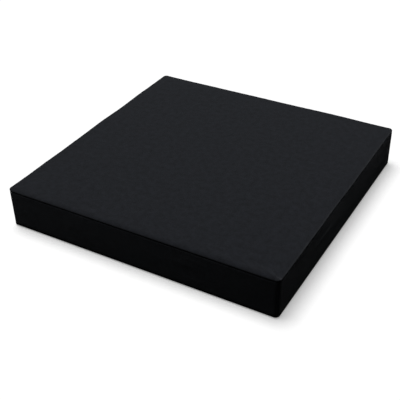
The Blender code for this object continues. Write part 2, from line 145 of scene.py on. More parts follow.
@dataclass(frozen=True)
class Surface:
    """What each finish has: two ends of a colour, and a height.

    Attributes:
        name: What the material is and how it was made.
        dark, light: The two ends of its colour.
        relief: Height of its threads or grain, in metres.
    """

    name: str
    dark: str
    light: str
    relief: float

    def started(self) -> tuple[bpy.types.Material, bpy.types.NodeTree]:
        """Make the material, still plain, and give its nodes with it."""
        made = bpy.data.materials.new(self.name)
        made.use_nodes = True
        return made, made.node_tree

    def surfaced(
        self,
        tree: bpy.types.NodeTree,
        tone: bpy.types.Node,
        height: bpy.types.Node,
        ends: tuple[float, float],
    ) -> bpy.types.Node:
        """Colour the surface by its tone, and raise it by its height.

        Args:
            tree: The material's nodes.
            tone: How light each place is.
            height: How high each place is, in reliefs.
            ends: The tones that get the dark and the light colour.

        Returns:
            The material's shader.
        """
        ramp = add_node(tree, "ValToRGB", inputs={0: tone})
        for stop, position, colour in zip(ramp.color_ramp.elements, ends, (self.dark, self.light)):
            stop.position = position
            stop.color = linear(colour)
        bump = add_node(
            tree, "Bump", inputs={"Height": height, "Distance": self.relief, "Strength": 1.0}
        )
        shader = tree.nodes["Principled BSDF"]
        feed(tree, shader, {"Base Color": ramp, "Normal": bump})
        return shader


# How much the threads, the fuzz on them and the patches each lighten the yarn, and the sum of
# them below which it has its darkest colour. The threads' share is painted shade: the tops of
# the crossings are coloured lighter and the gaps between threads darker.
PAINTED_WEAVE_SHADE = 0.2
FUZZ_TONE = 0.5
PATCH_TONE = 0.65
DARKEST_TONE = 0.45
# How high the fuzz stands and how far a thread rises over a crossing, in reliefs.
FUZZ_HEIGHT = 0.5
CROSSING_LIFT = 0.7
# How widely the fibre ends scatter light.
SHEEN_SPREAD = 0.5


@dataclass(frozen=True)
class Cloth(Surface):
    """A weave: two sets of round threads that pass over and under each other, with fuzzy fibres.

    Attributes:
        pitch: Distance from one thread to the next, in metres.
        slub: Size of the lighter and darker places along the yarns, in metres.
        mottle: Size of the uneven patches of dye and wear, in metres.
        roughness: How matt it is.
        specular: How strongly the fibres shine.
        sheen: How much the fibre ends catch light at a low angle.
        sheen_tint: The colour of that light.
        slant: How far each row of crossings is shifted, in pitches: 0 plain, 0.5 twill.
    """

    pitch: float
    slub: float
    mottle: float = 8.0 * MM
    roughness: float = 0.9
    specular: float = 0.12
    sheen: float = 0.05
    sheen_tint: str = "#ffffff"
    slant: float = 0.0

    def material(self) -> bpy.types.Material:
        """Build the material, reading the cloth's own UV map, which is in metres.

        Returns:
            The new material.
        """
        made, tree = self.started()
        uv = add_node(tree, "UVMap", {"uv_map": "cloth"})
        threads = self.threads(tree, uv)
        fuzz, patches = (
            add_node(tree, "TexNoise", inputs={"Vector": uv, "Scale": 1 / size, "Detail": detail})
            for size, detail in ((self.slub, 3.0), (self.mottle, 2.0))
        )
        add = {"operation": "MULTIPLY_ADD"}
        # Painted shade: the threads' height colours the crossings lighter and the gaps between
        # them darker.
        tone = add_node(tree, "Math", {"operation": "MULTIPLY"}, {0: threads, 1: PAINTED_WEAVE_SHADE})
        for layer, share in ((fuzz, FUZZ_TONE), (patches, PATCH_TONE)):
            tone = add_node(tree, "Math", add, {0: layer, 1: share, 2: tone})
        height = add_node(tree, "Math", add, {0: fuzz, 1: FUZZ_HEIGHT, 2: threads})
        shader = self.surfaced(tree, tone, height, (DARKEST_TONE, 1.0))
        sheen = {
            "Sheen Weight": self.sheen,
            "Sheen Roughness": SHEEN_SPREAD,
            "Sheen Tint": linear(self.sheen_tint),
        }
        body = {"Roughness": self.roughness, "Specular IOR Level": self.specular}
        feed(tree, shader, body | sheen)
        return made

    def threads(self, tree: bpy.types.NodeTree, uv: bpy.types.Node) -> bpy.types.Node:
        """Draw the height of the crossed threads.

        Each set is a row of rounds, one sine squared wide, and rises over every other thread of
        the other set as it dips under the rest. What shows is the higher of the two.

        Args:
            tree: The material's nodes.
            uv: The place on the flat cloth, in metres.

        Returns:
            A height from 0, between threads, to 1.7, on top of a crossing.
        """
        multiply, add = {"operation": "MULTIPLY"}, {"operation": "MULTIPLY_ADD"}
        across, along = add_node(tree, "SeparateXYZ", inputs={0: uv}).outputs[:2]
        if self.slant:
            across = add_node(tree, "Math", add, {0: along, 1: self.slant, 2: across})
        waves = []
        for place in (across, along):
            phase = add_node(tree, "Math", multiply, {0: place, 1: math.pi / self.pitch})
            waves.append(add_node(tree, "Math", {"operation": "SINE"}, {0: phase}))
        crossing = add_node(tree, "Math", multiply, dict(enumerate(waves)))
        heights = []
        for wave, lift in zip(waves, (CROSSING_LIFT, -CROSSING_LIFT)):
            lifted = add_node(tree, "Math", multiply, {0: crossing, 1: lift})
            heights.append(add_node(tree, "Math", add, {0: wave, 1: wave, 2: lifted}))
        return add_node(tree, "Math", {"operation": "MAXIMUM"}, dict(enumerate(heights)))


# The tones of the grain's colours: light from here up, and dark below, for cells and for noise.
# With cells, the dark colour lies in each cell's hollow: painted shade in the pits.
LIGHT_GRAIN = 0.7
SHADED_CELL_HOLLOWS = 0.1
DARK_GRAIN = 0.3


@dataclass(frozen=True)
class Grained(Surface):
    """A solid material with a fine, even grain: moulded nylon, plated zinc, thread or foam.

    Attributes:
        grain: Size of the grain, in metres.
        roughness: How matt it is.
        metallic: 1 for bare or plated metal.
        specular: How strongly it shines, where it isn't metal.
        cells: True where the grain is open cells, their hollows painted darker as shade, and not a
            fine noise.
    """

    grain: float
    roughness: float
    metallic: float = 0.0
    specular: float = 0.5
    cells: bool = False

    def material(self) -> bpy.types.Material:
        """Build the material on Object coordinates.

        Returns:
            The new material.
        """
        made, tree = self.started()
        place = add_node(tree, "TexCoord").outputs["Object"]
        kind = "TexVoronoi" if self.cells else "TexNoise"
        grain = add_node(tree, kind, inputs={"Vector": place, "Scale": 1 / self.grain})
        # With cells, each cell's sunken middle takes the dark colour: painted shade in the pits.
        ends = (SHADED_CELL_HOLLOWS if self.cells else DARK_GRAIN, LIGHT_GRAIN)
        shader = self.surfaced(tree, grain, grain, ends)
        feed(tree, shader, {"Roughness": self.roughness, "Metallic": self.metallic})
        if not self.metallic:
            feed(tree, shader, {"Specular IOR Level": self.specular})
        return made


# The real threads are about 0.4 mm apart. They are drawn 1.1 mm apart, so that the weave shows as
# the fine matt texture that it gives at arm's length.
WOVEN_POLYESTER = Cloth(
    "woven_black_polyester",
    dark="#08090d",
    light="#1d1f25",
    pitch=1.1 * MM,
    slub=2.2 * MM,
    relief=0.12 * MM,
    sheen=0.25,
    sheen_tint="#f1f8ff",
)
# A flat, dull plain weave, a shade lighter than the cover, for the dots to be printed on.
GRIP_CLOTH = Cloth(
    "woven_non_slip_base_cloth",
    dark="#19191a",
    light="#29292b",
    pitch=0.9 * MM,
    slub=3.0 * MM,
    relief=0.10 * MM,
)
# A tight twill: dull black, with faint slanting ribs.
TAPE_WEAVE = Cloth(
    "woven_polyester_zip_tape",
    dark="#161617",
    light="#262628",
    pitch=0.5 * MM,
    slub=1.0 * MM,
    relief=0.08 * MM,
    slant=0.5,
)
# Satin lies smooth and close, so the ribbon is bright and a little shiny.
LABEL_SATIN = Cloth(
    "woven_white_satin_ribbon",
    dark="#cfccc4",
    light="#f2f0ea",
    pitch=0.3 * MM,
    slub=1.5 * MM,
    relief=0.02 * MM,
    roughness=0.35,
    specular=0.5,
    slant=0.5,
)
# Fine loops, drawn as a soft, slanting weave: off-white and matt.
KNIT_JERSEY = Cloth(
    "knitted_polyester_jersey",
    dark="#b9b6ad",
    light="#e4e2da",
    pitch=1.2 * MM,
    slub=2.0 * MM,
    relief=0.20 * MM,
    slant=0.5,
)
# Printed wet and cured smooth: rubbery, darker and shinier than the cloth round it.
SILICONE = Grained(
    "printed_silicone_dots",
    dark="#131314",
    light="#1d1d1f",
    grain=1.5 * MM,
    relief=0.01 * MM,
    roughness=0.42,
)
# Short fibres twisted together: black and matt, with a fine fuzz.
SPUN_THREAD = Grained(
    "spun_polyester_thread",
    dark="#101012",
    light="#222225",
    grain=0.4 * MM,
    relief=0.06 * MM,
    roughness=0.8,
    specular=0.2,
)
# Drawn smooth through a die, so that its turns shine softly.
COIL_NYLON = Grained(
    "drawn_nylon_coil",
    dark="#141415",
    light="#222224",
    grain=2.0 * MM,
    relief=0.01 * MM,
    roughness=0.35,
)
# A thin dark plating on cast metal: dark grey, with softened reflections.
BLACK_ZINC = Grained(
    "die_cast_zinc_black_plated",
    dark="#38383b",
    light="#4a4a4e",
    grain=0.6 * MM,
    relief=0.01 * MM,
    roughness=0.34,
    metallic=1.0,
)
# Cut through its open cells: cream, pitted and fully matt, with painted shade darkening each pit.
SOFT_FOAM = Grained(
    "cut_polyurethane_comfort_foam",
    dark="#b9a97a",
    light="#efe6c4",
    grain=1.6 * MM,
    relief=0.5 * MM,
    roughness=0.95,
    cells=True,
)
# The denser foam: grey, with smaller and shallower cells, their hollows painted darker as shade.
FIRM_FOAM = Grained(
    "cut_polyurethane_support_foam",
    dark="#767c84",
    light="#b4b9c0",
    grain=1.3 * MM,
    relief=0.4 * MM,
    roughness=0.95,
    cells=True,
)


# ---------------------------------------------------------------------------------------------
# Making and finishing pieces
# ---------------------------------------------------------------------------------------------


def mesh_object(
    name: str,
    points: np.ndarray,
    faces: Sequence[Sequence[int]],
    cloth: np.ndarray | None = None,
) -> bpy.types.Object:
    """Make an object of given points and faces, at the origin.

    Args:
        name: The piece's name.
        points: One row of three coordinates for each vertex.
        faces: Vertex indices of each face.
        cloth: For each vertex, its place on the flat cloth in metres, for the UV map.

    Returns:
        The new object, smooth shaded.
    """
    mesh = bpy.data.meshes.new(name)
    mesh.from_pydata(points.tolist(), [], [list(face) for face in faces])
    if cloth is not None:
        corner = np.zeros(len(mesh.loops), np.int32)
        mesh.loops.foreach_get("vertex_index", corner)
        layer = mesh.uv_layers.new(name="cloth")
        layer.uv.foreach_set("vector", cloth[corner].astype(np.float32).ravel())
    mesh.shade_smooth()
    made = bpy.data.objects.new(name, mesh)
    bpy.context.scene.collection.objects.link(made)
    return made


def points_of(piece: bpy.types.Object) -> np.ndarray:
    """Read a mesh's vertices as rows of three coordinates."""
    found = np.zeros(len(piece.data.vertices) * 3, np.float32)
    piece.data.vertices.foreach_get("co", found)
    return found.reshape(-1, 3).astype(float)


def set_points(piece: bpy.types.Object, points: np.ndarray) -> None:
    """Put a mesh's vertices in new places."""
    piece.data.vertices.foreach_set("co", points.astype(np.float32).ravel())
    piece.data.update()


def grid_faces(columns: int, rows: int) -> list[Quad]:
    """Join a grid of points, listed column by column, into faces of four.

    Args:
        columns, rows: How many points it has each way.

    Returns:
        Each face's points: its own, the next column's, and the same two a row on.
    """
    return [
        (i * rows + j, (i + 1) * rows + j, (i + 1) * rows + j + 1, i * rows + j + 1)
        for i in range(columns - 1)
        for j in range(rows - 1)
    ]


def turned(faces: Iterable[Quad]) -> list[Quad]:
    """Make faces look the other way, each from the same first point."""
    return [(a, d, c, b) for a, b, c, d in faces]


def deselect() -> None:
    """Deselect everything, so that an operator acts on the next primitive alone."""
    bpy.ops.object.select_all(action="DESELECT")


def only(piece: bpy.types.Object) -> None:
    """Make a piece the only selected one, and the active one."""
    deselect()
    piece.select_set(True)
    bpy.context.view_layer.objects.active = piece


def finish_with(piece: bpy.types.Object, kind: str, **settings: object) -> None:
    """Add a modifier, and apply it.

    Args:
        piece: A mesh.
        kind: The modifier's type.
        settings: Its properties.
    """
    only(piece)
    modifier = piece.modifiers.new(kind.lower(), kind)
    for name, value in settings.items():
        setattr(modifier, name, value)
    bpy.ops.object.modifier_apply(modifier=modifier.name)


def thicken(piece: bpy.types.Object, thickness: float) -> None:
    """Give a sheet of cloth its thickness, half to each side."""
    finish_with(piece, "SOLIDIFY", thickness=thickness, offset=0.0, use_even_offset=True)


def upright_sheet(
    name: str, low: Vector, high: Vector, columns: int, rows: int
) -> bpy.types.Object:
    """Make a flat, upright sheet of cloth that fills a box, facing the rear.

    Args:
        name: The piece's name.
        low, high: The box's corners. Its depth is the cloth's thickness.
        columns, rows: How many points it has each way.

    Returns:
        The new object, with its thickness.
    """
    middle = (low.y + high.y) / 2
    across, up = np.linspace(low.x, high.x, columns), np.linspace(low.z, high.z, rows)
    points = np.array([(x, middle, z) for x in across for z in up])
    piece = mesh_object(name, points, turned(grid_faces(columns, rows)), points[:, [0, 2]])
    thicken(piece, high.y - low.y)
    return piece


def repeated(
    name: str, pattern: bpy.types.Object, places: Iterable[Matrix]
) -> bpy.types.Object:
    """Copy one modelled shape to many places, as one piece; the shape itself is removed.

    Args:
        name: The piece's name.
        pattern: The shape, modelled round the origin.
        places: Where each copy goes, and how it is turned.

    Returns:
        The new object.
    """
    base = points_of(pattern)
    faces = [tuple(face.vertices) for face in pattern.data.polygons]
    points, indices = [], []
    for count, place in enumerate(places):
        turn = np.array(place, float)
        points.append(base @ turn[:3, :3].T + turn[:3, 3])
        indices += [tuple(index + count * len(base) for index in face) for face in faces]
    bpy.data.objects.remove(pattern)
    return mesh_object(name, np.concatenate(points), indices)


def dress(
    piece: bpy.types.Object,
    finish: Finish,
    material: bpy.types.Material,
    stands_for: Sequence[str] = (),
    body: str = CUSHION,
) -> bpy.types.Object:
    """Give a piece its material and its body, and hide the CAD nodes that it stands for.

    Args:
        piece: A finished mesh.
        finish: The record's slot for the piece's finish. It is not used.
        material: The material that it wears.
        stands_for: CAD nodes that it replaces.
        body: The CAD body that it moves with.

    Returns:
        The same piece.
    """
    piece.data.materials.clear()
    piece.data.materials.append(material)
    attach(piece, body)
    if stands_for:
        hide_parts(*stands_for)
    LOG.info("%s: %d faces, stands for %s", piece.name, len(piece.data.polygons), stands_for)
    return piece


# ---------------------------------------------------------------------------------------------
# The cover's shape
# ---------------------------------------------------------------------------------------------


@dataclass(frozen=True)
class Sizes:
    """The cover's sizes, in metres, as the CAD part has them.

    Attributes:
        half_x, half_y: Half its width and depth.
        height: Its height, from the floor.
        fabric: Thickness of the cloth.
        corner: Radius of its upright corners.
        base_face: Height of the base cloth's outer face, above the dots' feet.
        base_seam, top_seam: Heights of the two level seams.
        allowance: Cloth turned in at a level seam.
        corner_allowance: Cloth turned in at an upright corner seam.
        gap: Clearance between pieces that lie on each other.
        zip_level: Height of the zip's middle.
        zip_half_slot: Half the slot between the two rear strips.
        zip_hem: Cloth turned in along the zip.
    """

    half_x: float = 0.200
    half_y: float = 0.200
    height: float = 0.060
    fabric: float = 1.0 * MM
    corner: float = 6.0 * MM
    base_face: float = 0.6 * MM
    base_seam: float = 3.6 * MM
    top_seam: float = 56.0 * MM
    allowance: float = 8.0 * MM
    corner_allowance: float = 7.0 * MM
    gap: float = 0.3 * MM
    zip_level: float = 29.8 * MM
    zip_half_slot: float = 5.5 * MM
    zip_hem: float = 9.0 * MM


SIZES = Sizes()


@dataclass(frozen=True)
class Unevenness:
    """Smooth, repeatable unevenness: a sum of waves in seeded directions.

    Attributes:
        seed: Picks the directions and phases.
        longest, shortest: The range of wavelengths, in metres.
        stretch: How much longer the waves are along x, y and z.
        waves: How many waves are summed.
    """

    seed: int
    longest: float
    shortest: float
    stretch: tuple[float, float, float] = (1.0, 1.0, 1.0)
    waves: int = 16

    def at(self, points: np.ndarray) -> np.ndarray:
        """Give the unevenness at each point.

        Args:
            points: Rows of three coordinates.

        Returns:
            One number for each point, about -1 to 1.
        """
        draw = np.random.default_rng(self.seed)
        ways = draw.normal(size=(self.waves, 3))
        ways /= np.linalg.norm(ways, axis=1)[:, None]
        lengths = self.longest * (self.shortest / self.longest) ** draw.random(self.waves)
        numbers = math.tau * ways / lengths[:, None] / np.array(self.stretch)
        phases = math.tau * draw.random(self.waves)
        return np.sin(points @ numbers.T + phases).sum(axis=1) / math.sqrt(2 * self.waves)


def smooth(value: np.ndarray, low: float, high: float) -> np.ndarray:
    """Rise smoothly from 0 at low to 1 at high."""
    share = np.clip((value - low) / (high - low), 0, 1)
    return share * share * (3 - 2 * share)


@dataclass
class Stuffing:
    """How the foam pushes the sewn cover out, from a cloth simulation of the whole cover.

    Attributes:
        sizes: The cover's sizes.
        voxel: Size of the simulated cloth's faces.
        pressure: Pressure of the foam on the cover.
        most: The furthest that the simulation may move a point.
        frames: How long it runs.
        form_bevel: How much its form's edges are cut off, as a share of the cover's corners.
        base_band, edge_band: How far from the floor and from an edge those holds reach.
        base_hold, edge_hold, face_hold: How firmly the foam holds the cloth in each place.
        cell: Spacing of the grids that the result is kept on.
        passes: How many times those grids are evened out.
        grids: The movement over each face, by column and row.
    """

    sizes: Sizes = SIZES
    voxel: float = 5.0 * MM
    pressure: float = 4.0
    most: float = 2.5 * MM
    frames: int = 20
    form_bevel: float = 0.7
    base_band: float = 6 * MM
    edge_band: float = 8 * MM
    base_hold: float = 1.0
    edge_hold: float = 0.55
    face_hold: float = 0.18
    cell: float = 5.0 * MM
    passes: int = 10
    grids: dict[str, np.ndarray] = field(default_factory=dict)

    def simulate(self) -> tuple[np.ndarray, np.ndarray]:
        """Inflate a closed cloth form against springs that stand for the foam.

        Returns:
            The form's points at rest, and how far each one moved.
        """
        sizes = self.sizes
        deselect()
        bpy.ops.mesh.primitive_cube_add(size=1)
        form = bpy.context.object
        form.name = "stuffed_form"
        bpy.ops.object.mode_set(mode="EDIT")
        bpy.ops.mesh.select_all(action="SELECT")
        bpy.ops.transform.resize(value=(2 * sizes.half_x, 2 * sizes.half_y, sizes.height))
        bpy.ops.transform.translate(value=(0, 0, sizes.height / 2))
        bpy.ops.mesh.bevel(offset=sizes.corner * self.form_bevel, segments=3)
        bpy.ops.object.mode_set(mode="OBJECT")
        form.data.remesh_voxel_size = self.voxel
        only(form)
        bpy.ops.object.voxel_remesh()
        rest = points_of(form)
        held = form.vertex_groups.new(name="held")
        for index, (x, y, z) in enumerate(rest):
            away = sorted((sizes.half_x - abs(x), sizes.half_y - abs(y), sizes.height - z, z))
            hold = self.edge_hold if away[1] < self.edge_band else self.face_hold
            held.add([index], self.base_hold if z < self.base_band else hold, "REPLACE")
        modifier = form.modifiers.new("cloth", "CLOTH")
        cloth = modifier.settings
        cloth.quality = 4
        cloth.mass = 0.3
        cloth.tension_stiffness = cloth.compression_stiffness = 12
        cloth.shear_stiffness = 4
        cloth.bending_stiffness = 0.4
        cloth.use_pressure = True
        cloth.uniform_pressure_force = self.pressure
        cloth.shrink_min = -0.012
        cloth.vertex_group_mass = "held"
        cloth.pin_stiffness = 1.0
        cloth.effector_weights.gravity = 0
        modifier.collision_settings.use_collision = False
        scene = bpy.context.scene
        for frame in range(1, self.frames + 1):
            scene.frame_set(frame)
        only(form)
        bpy.ops.object.modifier_apply(modifier=modifier.name)
        moved = points_of(form) - rest
        scene.frame_set(1)
        bpy.data.objects.remove(form)
        far = np.linalg.norm(moved, axis=1, keepdims=True)
        LOG.info("cloth moved: median %.2f mm, most %.2f mm", np.median(far) / MM, far.max() / MM)
        return rest, moved * np.minimum(1, self.most / np.maximum(far, 1e-9))

    def prepare(self) -> None:
        """Run the simulation, and keep its movement on a grid for each face of the cushion."""
        sizes = self.sizes
        along_x = np.arange(-sizes.half_x, sizes.half_x + self.cell / 2, self.cell)
        up = np.arange(0, sizes.height + self.cell / 2, self.cell)
        faces = {
            "top": [(x, y, sizes.height) for x in along_x for y in along_x],
            "front": [(x, -sizes.half_y, z) for x in along_x for z in up],
            "rear": [(x, sizes.half_y, z) for x in along_x for z in up],
            "left": [(-sizes.half_x, y, z) for y in along_x for z in up],
            "right": [(sizes.half_x, y, z) for y in along_x for z in up],
        }
        rest, moved = self.simulate()
        tree = KDTree(len(rest))
        for index, point in enumerate(rest):
            tree.insert(point, index)
        tree.balance()
        reach = 2.2 * self.voxel
        for name, places in faces.items():
            kept = []
            for place in places:
                found = tree.find_range(place, reach) or [tree.find(place)]
                weight = np.exp([-((far / self.voxel) ** 2) for _, _, far in found])
                kept.append(weight @ moved[[index for _, index, _ in found]] / weight.sum())
            self.grids[name] = self.eased(np.array(kept).reshape(len(along_x), -1, 3))

    def eased(self, grid: np.ndarray) -> np.ndarray:
        """Even out a grid over a few cells each way, as thick cloth over foam does.

        Args:
            grid: A movement for each cell, by row and column.

        Returns:
            The same grid after some passes of a 1-2-1 filter along each direction.
        """
        for axis in (0, 1):
            ends = [(1, 1) if axis == other else (0, 0) for other in range(3)]
            count = grid.shape[axis]
            for _ in range(self.passes):
                wide = np.pad(grid, ends, mode="edge")
                parts = [np.take(wide, range(start, start + count), axis) for start in range(3)]
                grid = (parts[0] + 2 * parts[1] + parts[2]) / 4
        return grid

    def sample(self, name: str, first: np.ndarray, second: np.ndarray) -> np.ndarray:
        """Read a face's grid between its cells.

        Args:
            name: The face.
            first, second: Places along its two directions, counted in cells.

        Returns:
            A movement for each place.
        """
        grid = self.grids[name]
        first = np.clip(first, 0, grid.shape[0] - 1.001)
        second = np.clip(second, 0, grid.shape[1] - 1.001)
        i, j = first.astype(int), second.astype(int)
        a, b = (first - i)[:, None], (second - j)[:, None]
        low = grid[i, j] * (1 - b) + grid[i, j + 1] * b
        high = grid[i + 1, j] * (1 - b) + grid[i + 1, j + 1] * b
        return low * (1 - a) + high * a

    def push(self, points: np.ndarray) -> np.ndarray:
        """Give how far the stuffing moves each point: a blend of the faces that it is near.

        Args:
            points: Rows of three coordinates.

        Returns:
            A movement for each point.
        """
        sizes = self.sizes
        x, y, z = points.T
        across, along = (x + sizes.half_x) / self.cell, (y + sizes.half_y) / self.cell
        up = z / self.cell
        near = (
            ("top", across, along, sizes.height - z),
            ("front", across, up, sizes.half_y + y),
            ("rear", across, up, sizes.half_y - y),
            ("left", along, up, sizes.half_x + x),
            ("right", along, up, sizes.half_x - x),
        )
        total = np.zeros(len(points))
        moved = np.zeros(points.shape)
        for name, first, second, away in near:
            weight = 1 / (np.maximum(away, 0) + MM) ** 3
            moved += self.sample(name, first, second) * weight[:, None]
            total += weight
        return moved / total[:, None]


@dataclass
class CoverShape:
    """Where the sewn cover really lies: its flat-sided form, moved by stuffing, seams and folds.

    Every soft layer is moved by the same amounts, so that layers stay clear of each other.

    Attributes:
        stuffing: What the simulation gives.
        sizes: The cover's sizes.
        pucker: How far the fabric stands up between stitches.
        drift: How far the top edge wanders from straight.
        ridge: Height of the long, shallow folds in the sides.
        crease: Depth of the folds that run in from the top's corners.
        between_stitches, side_folds, folded_places, wander: The unevenness of each of these.
    """

    stuffing: Stuffing
    sizes: Sizes = SIZES
    pucker: float = 0.14 * MM
    drift: float = 0.45 * MM
    ridge: float = 0.20 * MM
    crease: float = 0.25 * MM
    between_stitches: Unevenness = Unevenness(3, 14 * MM, 6 * MM, (1, 1, 4))
    side_folds: Unevenness = Unevenness(11, 13 * MM, 7 * MM, (9, 9, 1))
    folded_places: Unevenness = Unevenness(12, 260 * MM, 120 * MM)
    wander: Unevenness = Unevenness(21, 240 * MM, 70 * MM)

    def outward(self, points: np.ndarray) -> tuple[np.ndarray, np.ndarray]:
        """Find each point's inset from the sides, and the level direction straight outwards.

        Args:
            points: Rows of three coordinates.

        Returns:
            The insets, and rows of two coordinates.
        """
        sizes = self.sizes
        half = np.array([sizes.half_x, sizes.half_y]) - sizes.corner
        past = np.abs(points[:, :2]) - half
        both = np.maximum(past, 0)
        length = np.linalg.norm(both, axis=1)
        inset = sizes.corner - length - np.minimum(past.max(axis=1), 0)
        axis = (past == past.max(axis=1, keepdims=True)).astype(float)
        way = np.where((past > 0).all(axis=1)[:, None], both, axis) * np.sign(points[:, :2])
        return inset, way / np.maximum(np.linalg.norm(way, axis=1, keepdims=True), 1e-9)

    def moved(self, points: np.ndarray) -> np.ndarray:
        """Move points of the flat-sided form to where they really lie.

        Args:
            points: Rows of three coordinates.

        Returns:
            The same rows, moved.
        """
        sizes = self.sizes
        inset, level = self.outward(points)
        z = points[:, 2]
        drop = sizes.height - z
        side_share = 1 / (np.maximum(inset, 0) + MM)
        top_share = 1 / (np.maximum(drop, 0) + MM)
        side_share, top_share = (
            side_share / (side_share + top_share),
            top_share / (side_share + top_share),
        )
        normal = np.column_stack([level * side_share[:, None], top_share])
        normal /= np.linalg.norm(normal, axis=1, keepdims=True)
        amount = np.zeros(len(points))
        for seam, spread in ((sizes.top_seam, 5 * MM), (sizes.base_seam, 4 * MM)):
            path = np.sqrt((z - seam) ** 2 + np.maximum(inset, 0) ** 2)
            near_seam = np.exp(-((path / spread) ** 2))
            amount += self.pucker * self.between_stitches.at(points) * near_seam
        folds = self.side_folds.at(points)
        where = smooth(self.folded_places.at(points), -0.2, 0.9)
        amount += self.ridge * folds * where * side_share * smooth(drop, 3 * MM, 9 * MM)
        amount += self.crease * self.corner_folds(points) * top_share
        reach = 12 * MM
        edge = np.exp(-((drop / reach) ** 2)) * np.exp(-((np.maximum(inset, 0) / reach) ** 2))
        amount += self.drift * self.wander.at(points) * edge
        change = normal * amount[:, None] + self.stuffing.push(points)
        change *= smooth(z, 1.5 * MM, 12 * MM)[:, None]
        zip_away = smooth(np.abs(z - sizes.zip_level), 8 * MM, 15 * MM)
        at_rear = smooth(points[:, 1], sizes.half_y - 20 * MM, sizes.half_y - 8 * MM)
        change *= (1 - at_rear * (1 - zip_away))[:, None]
        return points + change

    def corner_folds(self, points: np.ndarray) -> np.ndarray:
        """Draw the short folds that fan in from each corner of the top.

        Args:
            points: Rows of three coordinates.

        Returns:
            A height for each point, from -1 to 1.
        """
        sizes = self.sizes
        away = np.column_stack(
            [sizes.half_x - np.abs(points[:, 0]), sizes.half_y - np.abs(points[:, 1])]
        )
        reach = np.linalg.norm(away, axis=1)
        turn = np.degrees(np.arctan2(away[:, 1], away[:, 0]))
        quarter = np.sign(points[:, 0]) * 2 + np.sign(points[:, 1]) * 5
        fan = np.sin(np.radians(turn * 9 + quarter * 31)) * np.exp(-(((turn - 45) / 30) ** 2))
        return fan * smooth(reach, 4 * MM, 10 * MM) * (1 - smooth(reach, 14 * MM, 42 * MM))


def arc(
    centre: tuple[float, float], radius: float, start: float, end: float, steps: int = 6
) -> Section:
    """Points of a round part of a section.

    Args:
        centre: Its centre.
        radius: Its radius.
        start, end: Its first and last angles, in degrees.
        steps: How many steps it has.

    Returns:
        Its points, with both ends.
    """
    angles = [math.radians(start + (end - start) * step / steps) for step in range(steps + 1)]
    return [(centre[0] + radius * math.cos(a), centre[1] + radius * math.sin(a)) for a in angles]


def roll_over(
    centre: tuple[float, float], wide: float, tall: float, start: float, end: float, steps: int
) -> Section:
    """Points of an oval turn of cloth.

    Args:
        centre: Its centre.
        wide, tall: Its two radii.
        start, end: Its first and last angles, in degrees.
        steps: How many steps it has.

    Returns:
        Its points, with both ends.
    """
    return [
        (centre[0] + wide * x, centre[1] + tall * y) for x, y in arc((0, 0), 1, start, end, steps)
    ]


def filled(section: Section, spacing: float) -> Section:
    """Add points to the long straight parts of a section.

    Args:
        section: Points as (inset, height).
        spacing: The longest step that stays.

    Returns:
        The section with its long steps split evenly.
    """
    points = [section[0]]
    for start, end in zip(section, section[1:]):
        steps = max(1, math.ceil(math.dist(start, end) / spacing))
        for step in range(1, steps + 1):
            share = step / steps
            points.append(tuple(a + (b - a) * share for a, b in zip(start, end)))
    return points


def distances(section: Section) -> np.ndarray:
    """Distance along a section to each of its points."""
    steps = [math.dist(start, end) for start, end in zip(section, section[1:])]
    return np.concatenate([[0.0], np.cumsum(steps)])


@dataclass
class Plan:
    """A rounded rectangle seen from above, with points that line up from ring to ring.

    Attributes:
        half_x, half_y: Half its sizes.
        corner: Its corner radius.
        spacing: Distance between points along the straight parts.
        corner_steps: Steps in half of one corner.
    """

    half_x: float
    half_y: float
    corner: float
    spacing: float = 3.0 * MM
    corner_steps: int = 5

    def shares(self) -> np.ndarray:
        """Divide one side, from corner diagonal to corner diagonal.

        Returns:
            Places along it, as shares of its length.
        """
        curve = self.corner * math.pi / 4
        straight = 2 * (self.half_x - self.corner)
        steps = math.ceil(straight / self.spacing)
        bend = [curve * step / self.corner_steps for step in range(self.corner_steps)]
        run = [curve + straight * step / steps for step in range(steps + 1)]
        whole = 2 * curve + straight
        return np.array(bend + run + [whole - part for part in reversed(bend)]) / whole

    def filled_square(self, inset: float, height: float) -> np.ndarray:
        """Fill the plan at an inset with a level grid, as columns of rows of points."""
        places = 2 * self.shares() - 1
        across, along = places * (self.half_x - inset), places * (self.half_y - inset)
        return np.array([[(x, y, height) for y in along] for x in across])

    def ring(self, inset: float) -> tuple[np.ndarray, np.ndarray]:
        """Points all the way round at an inset, counter-clockwise from the front left diagonal.

        Args:
            inset: Distance inwards from the outline.

        Returns:
            Rows of (x, y), and the direction outwards at each one.
        """
        radius = max(self.corner - inset, 0.0)
        curve = radius * math.pi / 4
        points, ways = [], []
        for side in range(4):
            facing = math.radians(90 * side - 90)
            out = np.array([math.cos(facing), math.sin(facing)])
            run = np.array([-out[1], out[0]])
            half_out, half_run = (
                (self.half_y, self.half_x) if side % 2 == 0 else (self.half_x, self.half_y)
            )
            half_out, half_run = half_out - inset, half_run - inset
            straight = 2 * (half_run - radius)
            for share in self.shares()[:-1]:
                far = share * (2 * curve + straight)
                if far < curve:
                    turn = (far / curve - 1) * math.pi / 4
                    middle = -run * (half_run - radius)
                elif far <= curve + straight:
                    turn = 0.0
                    middle = run * (far - curve - straight / 2)
                else:
                    turn = (far - curve - straight) / curve * math.pi / 4
                    middle = run * (half_run - radius)
                way = out * math.cos(turn) + run * math.sin(turn)
                points.append(middle + out * (half_out - radius) + way * radius)
                ways.append(way)
        return np.array(points), np.array(ways)


def outline(size: int) -> tuple[np.ndarray, np.ndarray]:
    """Go round the edge of a square grid, from its first column's first row.

    Args:
        size: How many points it has each way.

    Returns:
        The column and the row of each point on the way.
    """
    first = np.zeros(size - 1, int)
    going = np.arange(size - 1)
    last = first + size - 1
    back = last - going
    return np.concatenate([going, last, back, first]), np.concatenate([first, going, last, back])


